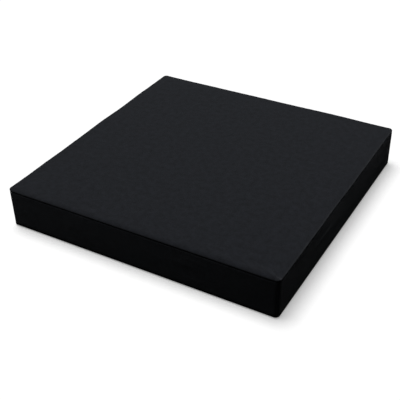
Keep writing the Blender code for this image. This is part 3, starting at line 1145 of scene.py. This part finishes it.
def covering(
    name: str, plan: Plan, section: Section, second_cap: bool = False, facing: int = 1
) -> bpy.types.Object:
    """Make a sheet that fills a plan and then follows a section outwards round its edge.

    Args:
        name: The piece's name.
        plan: The rounded outline.
        section: Points as (inset, height); the first inset is at least the corner radius.
        second_cap: True to fill the plan at the section's other end too, which closes the solid.
        facing: 1 where the filled part looks up, -1 where it looks down.

    Returns:
        The new object.
    """
    grid = plan.filled_square(*section[0])
    size = len(grid)
    points, cloth = [grid.reshape(-1, 3)], [grid.reshape(-1, 3)[:, :2]]
    faces = grid_faces(size, size)
    edge = outline(size)
    rim = np.arange(size**2).reshape(size, size)[edge].tolist()
    start = size**2
    base, ways = plan.ring(section[0][0])
    run = distances(section)
    for row, (inset, height) in enumerate(section[1:], 1):
        ring, ways = plan.ring(inset)
        points.append(np.column_stack([ring, np.full(len(ring), height)]))
        cloth.append(base + ways * run[row])
        fresh = [start + k for k in range(len(ring))]
        start += len(ring)
        around = zip(rim, rim[1:] + rim[:1], fresh, fresh[1:] + fresh[:1])
        faces += [(a, c, d, b) for a, b, c, d in around]
        rim = fresh
    if second_cap:
        inside = plan.filled_square(*section[-1])[1:-1, 1:-1].reshape(-1, 3)
        points.append(inside)
        cloth.append(inside[:, :2])
        index = np.zeros((size, size), int)
        index[edge] = rim
        index[1:-1, 1:-1] = start + np.arange(len(inside)).reshape(size - 2, size - 2)
        index = index.ravel().tolist()
        cap = turned(grid_faces(size, size))
        faces += [tuple(index[corner] for corner in face) for face in cap]
    if facing < 0:
        faces = [face[::-1] for face in faces]
    return mesh_object(name, np.concatenate(points), faces, np.concatenate(cloth))


# ---------------------------------------------------------------------------------------------
# Sub-assemblies
# ---------------------------------------------------------------------------------------------


@dataclass
class Cover:
    """The sewn cover: seat fabric, side strips and non-slip base.

    Attributes:
        shape: Where the cloth really lies.
        sizes: The cover's sizes.
        fold: Radius of a turned edge, at the middle of the cloth, as the next ones are.
        roll: How far down the top's rolled edge turns.
        roll_width: How far in from the sides the roll starts.
        base_roll: How far up the base's rolled edge turns.
        seam_fold: Radius of a panel's turn into a level seam.
        tuck: Inset of a panel's allowance, behind the side.
        corner_fold: Radius of the fold at an upright corner seam.
        seam_middle: Distance from that seam to a flap turned in beside it.
        flap_steps: Steps down such a flap.
        fine: The longest step across a section.
    """

    shape: CoverShape
    sizes: Sizes = SIZES
    fold: float = 0.65 * MM
    roll: float = 2.2 * MM
    roll_width: float = 6.0 * MM
    base_roll: float = 1.2 * MM
    seam_fold: float = 0.70 * MM
    tuck: float = 3.1 * MM
    corner_fold: float = 0.55 * MM
    seam_middle: float = 0.60 * MM
    flap_steps: int = 3
    fine: float = 2.0 * MM

    def build(self) -> None:
        """Make every panel of the cover."""
        woven = WOVEN_POLYESTER.material()
        self.top_panel(woven)
        self.base_panel()
        sizes = self.sizes
        low = sizes.base_seam + sizes.gap
        high = sizes.top_seam - sizes.gap
        slot_low = sizes.zip_level - sizes.zip_half_slot
        slot_high = sizes.zip_level + sizes.zip_half_slot
        turn = sizes.allowance
        strips = (
            ("front_side", -90, low, high, turn, turn, "front_gusset"),
            ("right_side", 0, low, high, turn, turn, "right_gusset"),
            ("left_side", 180, low, high, turn, turn, "left_gusset"),
            ("rear_side_lower", 90, low, slot_low, turn, sizes.zip_hem, "rear_gusset_lower"),
            ("rear_side_upper", 90, slot_high, high, sizes.zip_hem, turn, "rear_gusset_upper"),
        )
        for name, facing, bottom, top, low_turn, high_turn, node in strips:
            piece = self.side_strip(name, facing, bottom, top, low_turn, high_turn)
            dress(piece, Finish.COVER, woven, [node])
        for name, end, node in (
            ("right_end_tab", -1, "zip_end_tab_right"),
            ("left_end_tab", 1, "zip_end_tab_left"),
        ):
            self.end_tab(name, end, node, woven)

    def panel_section(self, face: float, seam: float, roll: float) -> Section:
        """Half section of the top or base panel, at the middle of the cloth.

        Args:
            face: Height of the panel's outer face.
            seam: Height of its seam.
            roll: Radius of its rolled edge.

        Returns:
            Points from the flat part out over the edge, down to the seam and in behind the side.
        """
        sizes = self.sizes
        down = math.copysign(1, seam - face)
        half = sizes.fabric / 2
        tight = self.seam_fold
        top = face + down * half
        turn = seam - down * half
        wide = self.roll_width
        section = [(15 * MM, top), (12 * MM, top)]
        section += roll_over(
            (half + wide, top + down * roll), wide, roll, -90 * down, -180 * down, 12
        )
        section += arc((half + tight, turn - down * tight), tight, 180, 180 - 90 * down, steps=5)
        section += arc((self.tuck - tight, turn + down * tight), tight, -90 * down, 0, steps=5)
        section += [(self.tuck, seam + down * sizes.allowance)]
        return filled(section, self.fine)

    def top_panel(self, woven: bpy.types.Material) -> None:
        """Make the seat fabric, rolled over the top edge down to the top seam.

        Args:
            woven: The cover's material.
        """
        sizes = self.sizes
        plan = Plan(sizes.half_x, sizes.half_y, sizes.corner)
        section = self.panel_section(sizes.height, sizes.top_seam, self.roll)
        piece = covering("seat_fabric", plan, section)
        set_points(piece, self.shape.moved(points_of(piece)))
        thicken(piece, sizes.fabric)
        dress(piece, Finish.COVER, woven, ["top_panel"])
        cut = 2 * (sizes.half_x + float(distances(section)[-1]) - section[0][0])

    def base_panel(self) -> None:
        """Make the non-slip base cloth and the dots printed on it."""
        sizes = self.sizes
        plan = Plan(sizes.half_x, sizes.half_y, sizes.corner, spacing=5 * MM)
        section = self.panel_section(sizes.base_face, sizes.base_seam, self.base_roll)
        piece = covering("base_fabric", plan, section, facing=-1)
        thicken(piece, sizes.fabric)
        dress(piece, Finish.GRIP, GRIP_CLOTH.material(), ["base_panel"])
        dots = self.grip_dots()
        cut = 2 * (sizes.half_x + float(distances(section)[-1]) - section[0][0])

    def grip_dots(self) -> bpy.types.Object:
        """Make the silicone dots: one low dome, copied every 8 mm.

        Returns:
            All the dots, as one dressed piece.
        """
        pitch, radius, sunk = 8 * MM, 2.5 * MM, 0.15 * MM
        tall = self.sizes.base_face
        deselect()
        bpy.ops.mesh.primitive_cylinder_add(vertices=10, radius=radius, depth=tall + sunk)
        dome = bpy.context.object
        bpy.ops.object.mode_set(mode="EDIT")
        bpy.ops.mesh.select_all(action="DESELECT")
        bpy.ops.object.mode_set(mode="OBJECT")
        for face in dome.data.polygons:
            face.select = face.normal.z < -0.5
        bpy.ops.object.mode_set(mode="EDIT")
        bpy.ops.mesh.bevel(offset=0.4 * MM, segments=2)
        bpy.ops.object.mode_set(mode="OBJECT")
        reach = int((self.sizes.half_x - 6 * MM) // pitch)
        level = (tall + sunk) / 2
        places = [
            Matrix.Translation((column * pitch, row * pitch, level))
            for column in range(-reach, reach + 1)
            for row in range(-reach, reach + 1)
        ]
        dots = repeated("grip_dots", dome, places)
        return dress(dots, Finish.GRIP, SILICONE.material(), ["base_panel"])

    def side_section(
        self, low: float, high: float, low_turn: float, high_turn: float
    ) -> Section:
        """Section of a side strip with both long edges turned in, at the middle of the cloth.

        Args:
            low, high: Heights of its two long edges.
            low_turn, high_turn: How much cloth is turned in behind each of them.

        Returns:
            Points from the lower turned edge, over the outside, to the upper one.
        """
        half = self.sizes.fabric / 2
        behind = half + 2 * self.fold
        centre = half + self.fold
        section = [(behind, low + low_turn)]
        section += arc((centre, low + half + self.fold), self.fold, 0, -180)
        section += arc((centre, high - half - self.fold), self.fold, 180, 0)
        section += [(behind, high - high_turn)]
        return filled(section, self.fine)

    def corner(self, facing: float, end: int) -> tuple[np.ndarray, np.ndarray, np.ndarray]:
        """Centre, outward diagonal and sideways direction of one upright corner seam.

        Args:
            facing: The way that the side looks, in degrees.
            end: -1 for the corner at the side's start, 1 for the one at its end.

        Returns:
            Three plan vectors; sideways points from the seam towards the side.
        """
        sizes = self.sizes
        diagonal = math.radians(facing + 45 * end)
        outward = np.array([math.cos(diagonal), math.sin(diagonal)])
        half = np.array([sizes.half_x, sizes.half_y]) - sizes.corner
        return np.sign(outward) * half, outward, np.array([outward[1], -outward[0]]) * end

    def side_places(self, facing: float) -> list[Place]:
        """Places along a side, from just short of one corner seam to just short of the other.

        Args:
            facing: The way that the side looks, in degrees.

        Returns:
            For each place, what gives the plan place of a point there from its inset.
        """
        sizes = self.sizes
        stop = self.seam_middle + self.corner_fold

        def seam(end: int) -> Place:
            """Find the place beside one corner seam.

            Args:
                end: -1 for the seam at the side's start, 1 for the one at its end.

            Returns:
                The place.
            """
            centre, outward, sideways = self.corner(facing, end)

            def place(inset: float) -> tuple[float, float]:
                """Stay at one distance from the seam at every inset."""
                radius = sizes.corner - inset
                reach = math.sqrt(radius**2 - stop**2)
                return tuple(centre + outward * reach + sideways * stop)

            return place

        def bend(end: int, turn: float) -> Place:
            """Find a place on the round of one corner.

            Args:
                end: -1 for the corner at the side's start, 1 for the one at its end.
                turn: How far round it is from the way that the side looks, in degrees.

            Returns:
                The place.
            """
            centre, _, _ = self.corner(facing, end)
            angle = math.radians(facing + end * turn)
            way = np.array([math.cos(angle), math.sin(angle)])
            return lambda inset: tuple(centre + way * (sizes.corner - inset))

        turns = (20.0, 15.0, 10.0, 5.0, 0.0)
        places = [seam(-1)] + [bend(-1, turn) for turn in turns]
        start, end = np.array(bend(-1, 0)(0)), np.array(bend(1, 0)(0))
        out = np.array([math.cos(math.radians(facing)), math.sin(math.radians(facing))])
        steps = math.ceil(math.dist(start, end) / (3 * MM))
        for step in range(1, steps):
            middle = start + (end - start) * step / steps
            places.append(lambda inset, middle=middle: tuple(middle - out * inset))
        return places + [bend(1, turn) for turn in reversed(turns)] + [seam(1)]

    def side_strip(
        self,
        name: str,
        facing: float,
        low: float,
        high: float,
        low_turn: float,
        high_turn: float,
    ) -> bpy.types.Object:
        """Make one side strip, with its allowances turned in all round.

        Args:
            name: The piece's name.
            facing: The way that the side looks, in degrees.
            low, high: Heights of its two long edges.
            low_turn, high_turn: How much cloth is turned in behind each of them.

        Returns:
            The sewn strip, with its thickness.
        """
        sizes = self.sizes
        section = self.side_section(low, high, low_turn, high_turn)
        places = self.side_places(facing)
        rows = len(section)
        along = distances(section)
        points = [(*place(inset), height) for place in places for inset, height in section]
        run = distances([place(0) for place in places])
        cloth = [(far, up) for far in run for up in along]
        faces = grid_faces(len(places), rows)
        face_inset = sizes.fabric / 2
        front = [j for j, (inset, _) in enumerate(section) if inset < face_inset + self.fold / 2]
        flap_low = max(low + sizes.fabric, sizes.base_seam + sizes.allowance + sizes.gap)
        flap_high = min(high - sizes.fabric, sizes.top_seam - sizes.allowance - sizes.gap)
        turns = np.radians([18, 36, 54, 72, 90])
        flap = [j for j in front if flap_low <= section[j][1] <= flap_high]
        round_off = self.corner_fold
        reach = math.sqrt((sizes.corner - face_inset) ** 2 - (self.seam_middle + round_off) ** 2)
        plan = [
            (
                self.seam_middle + round_off * (1 - math.sin(turn)),
                reach - round_off * (1 - math.cos(turn)),
                round_off * turn,
            )
            for turn in turns
        ]
        _, deep, run_on = plan[-1]
        for step in range(1, self.flap_steps + 1):
            far = (sizes.corner_allowance - round_off) * step / self.flap_steps
            plan.append((self.seam_middle, deep - far, run_on + far))
        for end, column in ((-1, 0), (1, len(places) - 1)):
            centre, outward, sideways = self.corner(facing, end)
            last = {j: column * rows + j for j in front}
            for depth, (side, radius, far) in enumerate(plan):
                chosen = front if depth < len(turns) else flap
                fresh = {}
                for j in chosen:
                    spot = centre + outward * radius + sideways * side
                    fresh[j] = len(points)
                    points.append((*spot, section[j][1]))
                    cloth.append((run[column] + end * far, along[j]))
                for j in chosen[:-1]:
                    if j + 1 in fresh:
                        quad = (last[j], fresh[j], fresh[j + 1], last[j + 1])
                        faces.append(quad if end > 0 else quad[::-1])
                last = fresh
        piece = mesh_object(name, np.array(points), faces, np.array(cloth))
        set_points(piece, self.shape.moved(points_of(piece)))
        thicken(piece, sizes.fabric)
        return piece

    def end_tab(self, name: str, end: int, node: str, woven: bpy.types.Material) -> None:
        """Make the tab of cover fabric that closes the slot past one end of the zip.

        Args:
            name: The piece's name.
            end: -1 for the tab at the side's start, 1 for the one at its end.
            node: The CAD node that it stands for.
            woven: The cover's material.
        """
        sizes = self.sizes
        low = sizes.zip_level - sizes.zip_half_slot + sizes.gap
        high = sizes.zip_level + sizes.zip_half_slot - sizes.gap
        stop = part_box(node)[0 if end < 0 else 1].x
        places = self.side_places(90)
        places = places if end < 0 else places[::-1]
        near = [p for p in places if (p(0)[0] > stop if end < 0 else p(0)[0] < stop)]
        near.append(lambda inset: (stop, sizes.half_y - inset))
        section = filled([(sizes.fabric / 2, low), (sizes.fabric / 2, high)], self.fine)
        points = [(*place(inset), height) for place in near for inset, height in section]
        run = distances([place(0) for place in near])
        cloth = [(far, height) for far in run for _, height in section]
        faces = grid_faces(len(near), len(section))
        if end > 0:
            faces = [face[::-1] for face in faces]
        piece = mesh_object(name, np.array(points), faces, np.array(cloth))
        thicken(piece, sizes.fabric)
        dress(piece, Finish.COVER, woven, [node])


@dataclass
class Zip:
    """The coil zip in the rear face.

    Attributes:
        sizes: The cover's sizes.
        pitch: Distance from one turn of the coil to the next.
        wire: Radius of the coil's nylon.
        tip: How near the turns come to the middle of the chain.
        flattening: How much wider the nylon is where it is pressed flat, at the tips.
        stitch_pitch: Distance from one stitch to the next.
        stitch_length: Length of one stitch.
        thread: Radius of the thread.
        top_stop_edge, bottom_stop_edge, slider_edge: How much is rounded off the metal pieces.
    """

    sizes: Sizes = SIZES
    pitch: float = 1.25 * MM
    wire: float = 0.29 * MM
    tip: float = 0.45 * MM
    flattening: float = 0.45
    stitch_pitch: float = 3.2 * MM
    stitch_length: float = 2.9 * MM
    thread: float = 0.28 * MM
    top_stop_edge: float = 0.35 * MM
    bottom_stop_edge: float = 0.45 * MM
    slider_edge: float = 0.3 * MM

    def build(self) -> None:
        """Make the tapes, coils and stitching, and dress the metal pieces."""
        tape = TAPE_WEAVE.material()
        nylon = COIL_NYLON.material()
        thread = SPUN_THREAD.material()
        zinc = BLACK_ZINC.material()
        for label, side in (("upper", 1), ("lower", -1)):
            self.tape(label, tape)
            self.coil(label, side, nylon)
            self.stitching(label, thread)
            node = f"zip_top_stop_{label}"
            self.casting(f"{label}_stop", node, CUSHION, self.top_stop_edge, zinc)
        self.casting("bottom_stop", "zip_bottom_stop", CUSHION, self.bottom_stop_edge, zinc)
        self.casting("cast_slider", "zip_slider", "slider", self.slider_edge, zinc)
        self.casting("cast_pull_tab", "zip_pull_tab", "pull_tab", self.slider_edge, zinc)

    def casting(
        self, name: str, node: str, body: str, round_off: float, material: bpy.types.Material
    ) -> None:
        """Make a die-cast piece: the CAD form with its sharp edges rounded off.

        Args:
            name: The piece's name.
            node: The CAD node that it follows.
            body: The CAD body that it moves with.
            round_off: How much is taken off each edge.
            material: What it is cast in.
        """
        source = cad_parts[node]
        faces = [tuple(face.vertices) for face in source.data.polygons]
        piece = mesh_object(name, points_of(source), faces)
        only(piece)
        bpy.ops.object.mode_set(mode="EDIT")
        bpy.ops.mesh.select_all(action="SELECT")
        bpy.ops.mesh.remove_doubles(threshold=0.01 * MM)
        bpy.ops.mesh.dissolve_limited(angle_limit=math.radians(2))
        bpy.ops.mesh.normals_make_consistent(inside=False)
        bpy.ops.object.mode_set(mode="OBJECT")
        finish_with(
            piece,
            "BEVEL",
            width=round_off,
            segments=3,
            limit_method="ANGLE",
            angle_limit=math.radians(30),
        )
        bpy.ops.object.shade_smooth_by_angle(angle=math.radians(40))
        dress(piece, Finish.ZIP_METAL, material, [node], body)

    def tape(self, label: str, material: bpy.types.Material) -> None:
        """Make one woven tape.

        Args:
            label: Which one, upper or lower.
            material: What it is woven from.
        """
        low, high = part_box(f"zip_tape_{label}")
        piece = upright_sheet(f"{label}_tape", low, high, columns=80, rows=9)
        dress(piece, Finish.ZIP_TAPE, material, [f"zip_tape_{label}"])

    def coil(self, label: str, side: int, material: bpy.types.Material) -> None:
        """Make one nylon coil: a turn, flattened at its tip and copied along the tape.

        Args:
            label: Which one, upper or lower.
            side: 1 above the middle of the zip, -1 below it.
            material: The nylon.
        """
        low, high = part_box(f"zip_coil_{label}")
        outer, inner = high.y, low.y
        far = high.z - self.sizes.zip_level if side > 0 else self.sizes.zip_level - low.z
        deep = (outer - inner) / 2 - self.wire
        tall = (far - self.tip) / 2 - self.wire
        # A torus of radius 1 gives the turn's points. Its thinness is only divided out again.
        thin = 0.0005
        deselect()
        bpy.ops.mesh.primitive_torus_add(
            major_segments=12, minor_segments=5, major_radius=1.0, minor_radius=thin
        )
        turn = bpy.context.object
        ring = points_of(turn)
        around = np.arctan2(ring[:, 1], ring[:, 0])
        radial = np.hypot(ring[:, 0], ring[:, 1])
        out = np.column_stack([np.zeros(len(ring)), np.cos(around), np.sin(around)])
        centre = out * (0, deep, tall)
        wide = 1 + self.flattening * np.clip(-side * np.sin(around), 0, 1) ** 3
        place = centre + out * ((radial - 1) / thin * self.wire)[:, None]
        slant = 0.25 * self.pitch * np.sin(around / 2)
        place[:, 0] = ring[:, 2] / thin * self.wire * wide + slant
        set_points(turn, place)
        shift = 0.0 if side > 0 else self.pitch / 2
        count = int((high.x - low.x - 2 * self.wire - self.pitch / 2) // self.pitch)
        start = -count * self.pitch / 2 + shift / 2
        level = self.sizes.zip_level + side * (far + self.tip) / 2
        middle = (outer + inner) / 2
        places = [
            Matrix.Translation((start + self.pitch * index, middle, level))
            for index in range(count)
        ]
        piece = repeated(f"{label}_coil", turn, places)
        dress(piece, Finish.ZIP_NYLON, material, [f"zip_coil_{label}"])

    def stitch(self) -> bpy.types.Object:
        """Model one stitch: a short, round-ended length of thread along x.

        Returns:
            The stitch, round the origin.
        """
        deselect()
        bpy.ops.mesh.primitive_uv_sphere_add(segments=8, ring_count=6, radius=1.0)
        one = bpy.context.object
        bpy.ops.object.mode_set(mode="EDIT")
        bpy.ops.mesh.select_all(action="SELECT")
        bpy.ops.transform.rotate(value=math.pi / 2, orient_axis="Y", center_override=(0, 0, 0))
        bpy.ops.transform.resize(value=(self.stitch_length / 2, self.thread, self.thread))
        bpy.ops.object.mode_set(mode="OBJECT")
        return one

    def stitching(self, label: str, material: bpy.types.Material) -> None:
        """Make the row that holds a tape: stitches outside on the hem, and inside on the tape.

        Args:
            label: Which one, upper or lower.
            material: The thread.
        """
        low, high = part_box(f"zip_stitching_{label}")
        level = (low.z + high.z) / 2
        count = int((high.x - low.x) // self.stitch_pitch)
        outside = self.sizes.half_y - 0.05 * MM
        inside = (low.y + high.y) / 2
        places = []
        for index in range(count):
            x = (index - (count - 1) / 2) * self.stitch_pitch
            places.append(Matrix.Translation((x, outside, level)))
            places.append(Matrix.Translation((x, inside, level)))
        piece = repeated(f"{label}_zip_stitches", self.stitch(), places)
        dress(piece, Finish.THREAD, material, [f"zip_stitching_{label}"])


@dataclass
class Seams:
    """The rows of stitches inside the cover that hold its panels together.

    Attributes:
        shape: Where the cloth really lies.
        sizes: The cover's sizes.
        pitch: Distance from one stitch to the next.
        set_in: How far a level row lies behind its CAD node's outer face.
    """

    shape: CoverShape
    sizes: Sizes = SIZES
    pitch: float = 3.2 * MM
    set_in: float = 0.2 * MM

    def build(self, maker: Zip) -> None:
        """Make the rows round the top and base seams, and those at the corners.

        Args:
            maker: What models a stitch.
        """
        thread = SPUN_THREAD.material()
        for seam in ("top_seam", "base_seam"):
            low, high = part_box(f"{seam}_thread")
            level = (low.z + high.z) / 2
            inset = self.sizes.half_x - high.x + self.set_in
            sizes = self.sizes
            plan = Plan(sizes.half_x, sizes.half_y, sizes.corner, self.pitch, corner_steps=2)
            points, ways = plan.ring(inset)
            places = []
            for (x, y), way in zip(points, ways):
                turn = Matrix.Rotation(math.atan2(way[1], way[0]) + math.pi / 2, 4, "Z")
                places.append(Matrix.Translation((x, y, level)) @ turn)
            piece = repeated(f"{seam}_stitches", maker.stitch(), places)
            set_points(piece, self.shape.moved(points_of(piece)))
            dress(piece, Finish.THREAD, thread, [f"{seam}_thread"])
        for corner in ("front_left", "front_right", "rear_left", "rear_right"):
            node = f"corner_seam_thread_{corner}"
            low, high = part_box(node)
            middle = (low + high) / 2
            count = int((high.z - low.z) // self.pitch)
            upright = Matrix.Rotation(math.pi / 2, 4, "Y")
            levels = [middle.z + (i - (count - 1) / 2) * self.pitch for i in range(count)]
            places = [Matrix.Translation((middle.x, middle.y, z)) @ upright for z in levels]
            piece = repeated(f"{corner}_seam_stitches", maker.stitch(), places)
            dress(piece, Finish.THREAD, thread, [node])


@dataclass
class Filling:
    """What is inside the cover: the care label, the knitted liner and the two foams.

    Attributes:
        shape: Where the cloth really lies.
        sizes: The cover's sizes.
        liner: Thickness of the knit.
        edge: Radius of the foams' eased edges, and of the liner's turn over them.
        step: The longest step across a section.
    """

    shape: CoverShape
    sizes: Sizes = SIZES
    liner: float = 0.5 * MM
    edge: float = 2.0 * MM
    step: float = 4 * MM

    def build(self) -> None:
        """Make every inner piece."""
        self.label()
        knit = KNIT_JERSEY.material()
        self.liner_tray("lower_liner", "liner_lower", knit, facing=-1)
        self.liner_tray("upper_liner", "liner_upper", knit, facing=1)
        self.foam("firm_slab", "support_foam", Finish.SUPPORT_FOAM, FIRM_FOAM)
        self.foam("soft_slab", "comfort_foam", Finish.COMFORT_FOAM, SOFT_FOAM)

    def label(self) -> None:
        """Make the blank satin label."""
        low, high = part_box("care_label")
        piece = upright_sheet("blank_label", low, high, columns=25, rows=10)
        dress(piece, Finish.LABEL, LABEL_SATIN.material(), ["care_label"])

    @staticmethod
    def inner_plan(far: Vector) -> Plan:
        """Outline of an inner piece, from its box's far corner."""
        return Plan(far.x, far.y, corner=3 * MM, spacing=6 * MM, corner_steps=3)

    def liner_tray(
        self, name: str, node: str, material: bpy.types.Material, facing: int
    ) -> None:
        """Make one half of the knitted liner: a face with its four sides turned round the foam.

        Args:
            name: The piece's name.
            node: The CAD node that it stands for.
            material: The knit.
            facing: 1 where its face looks up, -1 where it looks down.
        """
        low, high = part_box(node)
        half = self.liner / 2
        face = high.z - half if facing > 0 else low.z + half
        rim = low.z if facing > 0 else high.z
        bend = self.edge
        start = 6 * MM
        section = [(start, face), (bend + half + MM, face)]
        down = -facing
        section += arc((half + bend, face + down * bend), bend, -90 * down, -180 * down, steps=5)
        section += [(half, rim)]
        section = filled(section, self.step)
        piece = covering(name, self.inner_plan(high), section, facing=facing)
        set_points(piece, self.shape.moved(points_of(piece)))
        thicken(piece, self.liner)
        dress(piece, Finish.LINER, material, [node])
        cut = 2 * (high.x - start + float(distances(section)[-1]))

    def foam(self, name: str, node: str, finish: Finish, look: Grained) -> None:
        """Make one foam slab, with its cut edges eased. It is foam all through.

        Args:
            name: The piece's name.
            node: The CAD node that it stands for.
            finish: The record's slot.
            look: What the foam is.
        """
        low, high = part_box(node)
        ease = self.edge
        start = 5 * MM
        section = [(start, high.z), (ease + MM, high.z)]
        section += arc((ease, high.z - ease), ease, 90, 180, steps=4)
        section += arc((ease, low.z + ease), ease, 180, 270, steps=4)
        section += [(start, low.z)]
        section = filled(section, self.step)
        piece = covering(name, self.inner_plan(high), section, second_cap=True)
        set_points(piece, self.shape.moved(points_of(piece)))
        dress(piece, finish, look.material(), [node])


@dataclass
class Studio:
    """White floor, soft light from above and a camera above the front right corner.

    Attributes:
        camera_place: Where the camera is.
        azimuth, elevation, roll: How it is turned, in degrees.
        lens: Its focal length, in millimetres.
        light_way: The direction that the light is in.
        light_spread: How many degrees of the sky the light fills.
        light_strength: Its power for each square metre.
        seen_white, lit_white: How bright the world looks, and how brightly it lights.
        floor_colour: The floor's colour.
        floor_glow: Light added to the floor, which keeps it near white.
    """

    camera_place: tuple[float, float, float] = (0.4674, -0.8290, 0.6327)
    azimuth: float = 30.41
    elevation: float = 34.20
    roll: float = -1.20
    lens: float = 70.62
    light_way: tuple[float, float, float] = (-0.20, 0.07, 1.0)
    light_spread: float = 36.0
    light_strength: float = 2.45
    seen_white: float = 1.1
    lit_white: float = 0.02
    floor_colour: str = "#f3f3f3"
    floor_glow: float = 0.35

    def build(self) -> None:
        """Set up the floor, the world, the light and the camera."""
        self.floor()
        self.world()
        self.light()
        self.camera()
        view = bpy.context.scene.view_settings
        view.view_transform = "Standard"
        view.look = "None"

    def floor(self) -> None:
        """Lay a plain white floor that doesn't throw light back up at the sides."""
        deselect()
        bpy.ops.mesh.primitive_plane_add(size=60)
        floor = bpy.context.object
        floor.name = "floor"
        made = bpy.data.materials.new("matt_white_paper")
        made.use_nodes = True
        paper = {
            "Base Color": linear(self.floor_colour),
            "Emission Color": linear("#ffffff"),
            "Emission Strength": self.floor_glow,
            "Roughness": 1.0,
            "Specular IOR Level": 0.0,
        }
        feed(made.node_tree, made.node_tree.nodes["Principled BSDF"], paper)
        floor.data.materials.append(made)
        floor.visible_diffuse = False
        floor.visible_glossy = False

    def world(self) -> None:
        """Show white behind the object, and light it only faintly from all round."""
        world = bpy.data.worlds.new("studio")
        world.use_nodes = True
        tree = world.node_tree
        tree.nodes.clear()
        seen, lit = (
            add_node(tree, "Background", inputs={"Color": (1, 1, 1, 1), "Strength": strength})
            for strength in (self.seen_white, self.lit_white)
        )
        direct = add_node(tree, "LightPath").outputs["Is Camera Ray"]
        mix = add_node(tree, "MixShader", inputs={0: direct, 1: lit, 2: seen})
        out = add_node(tree, "OutputWorld", inputs={0: mix})
        out.is_active_output = True
        bpy.context.scene.world = world

    def light(self) -> None:
        """Light the whole floor evenly from one direction, as a large, far softbox does."""
        lamp = bpy.data.lights.new("overhead", "SUN")
        lamp.angle = math.radians(self.light_spread)
        lamp.energy = self.light_strength
        made = bpy.data.objects.new("overhead", lamp)
        made.rotation_euler = Vector(self.light_way).to_track_quat("Z", "Y").to_euler()
        bpy.context.scene.collection.objects.link(made)

    def camera(self) -> None:
        """Place the camera."""
        a, e = math.radians(self.azimuth), math.radians(self.elevation)
        back = Vector((math.sin(a) * math.cos(e), -math.cos(a) * math.cos(e), math.sin(e)))
        right = Vector((math.cos(a), math.sin(a), 0.0))
        up = back.cross(right)
        roll = math.radians(self.roll)
        right, up = (
            right * math.cos(roll) + up * math.sin(roll),
            up * math.cos(roll) - right * math.sin(roll),
        )
        turn = Matrix((right, up, back)).transposed()
        lens = bpy.data.cameras.new("studio_camera")
        lens.lens = self.lens
        lens.sensor_width = 36.0
        made = bpy.data.objects.new("studio_camera", lens)
        made.matrix_world = Matrix.Translation(self.camera_place) @ turn.to_4x4()
        bpy.context.scene.collection.objects.link(made)
        bpy.context.scene.camera = made


def main() -> None:
    """Build the cushion from the outside in, then the studio round it."""
    logging.basicConfig(level=logging.INFO, format="%(name)s: %(message)s", stream=sys.stdout)
    stuffing = Stuffing()
    stuffing.prepare()
    shape = CoverShape(stuffing)
    Cover(shape).build()
    closure = Zip()
    closure.build()
    Seams(shape).build(closure)
    Filling(shape).build()
    Studio().build()


if __name__ == "__main__":
    main()
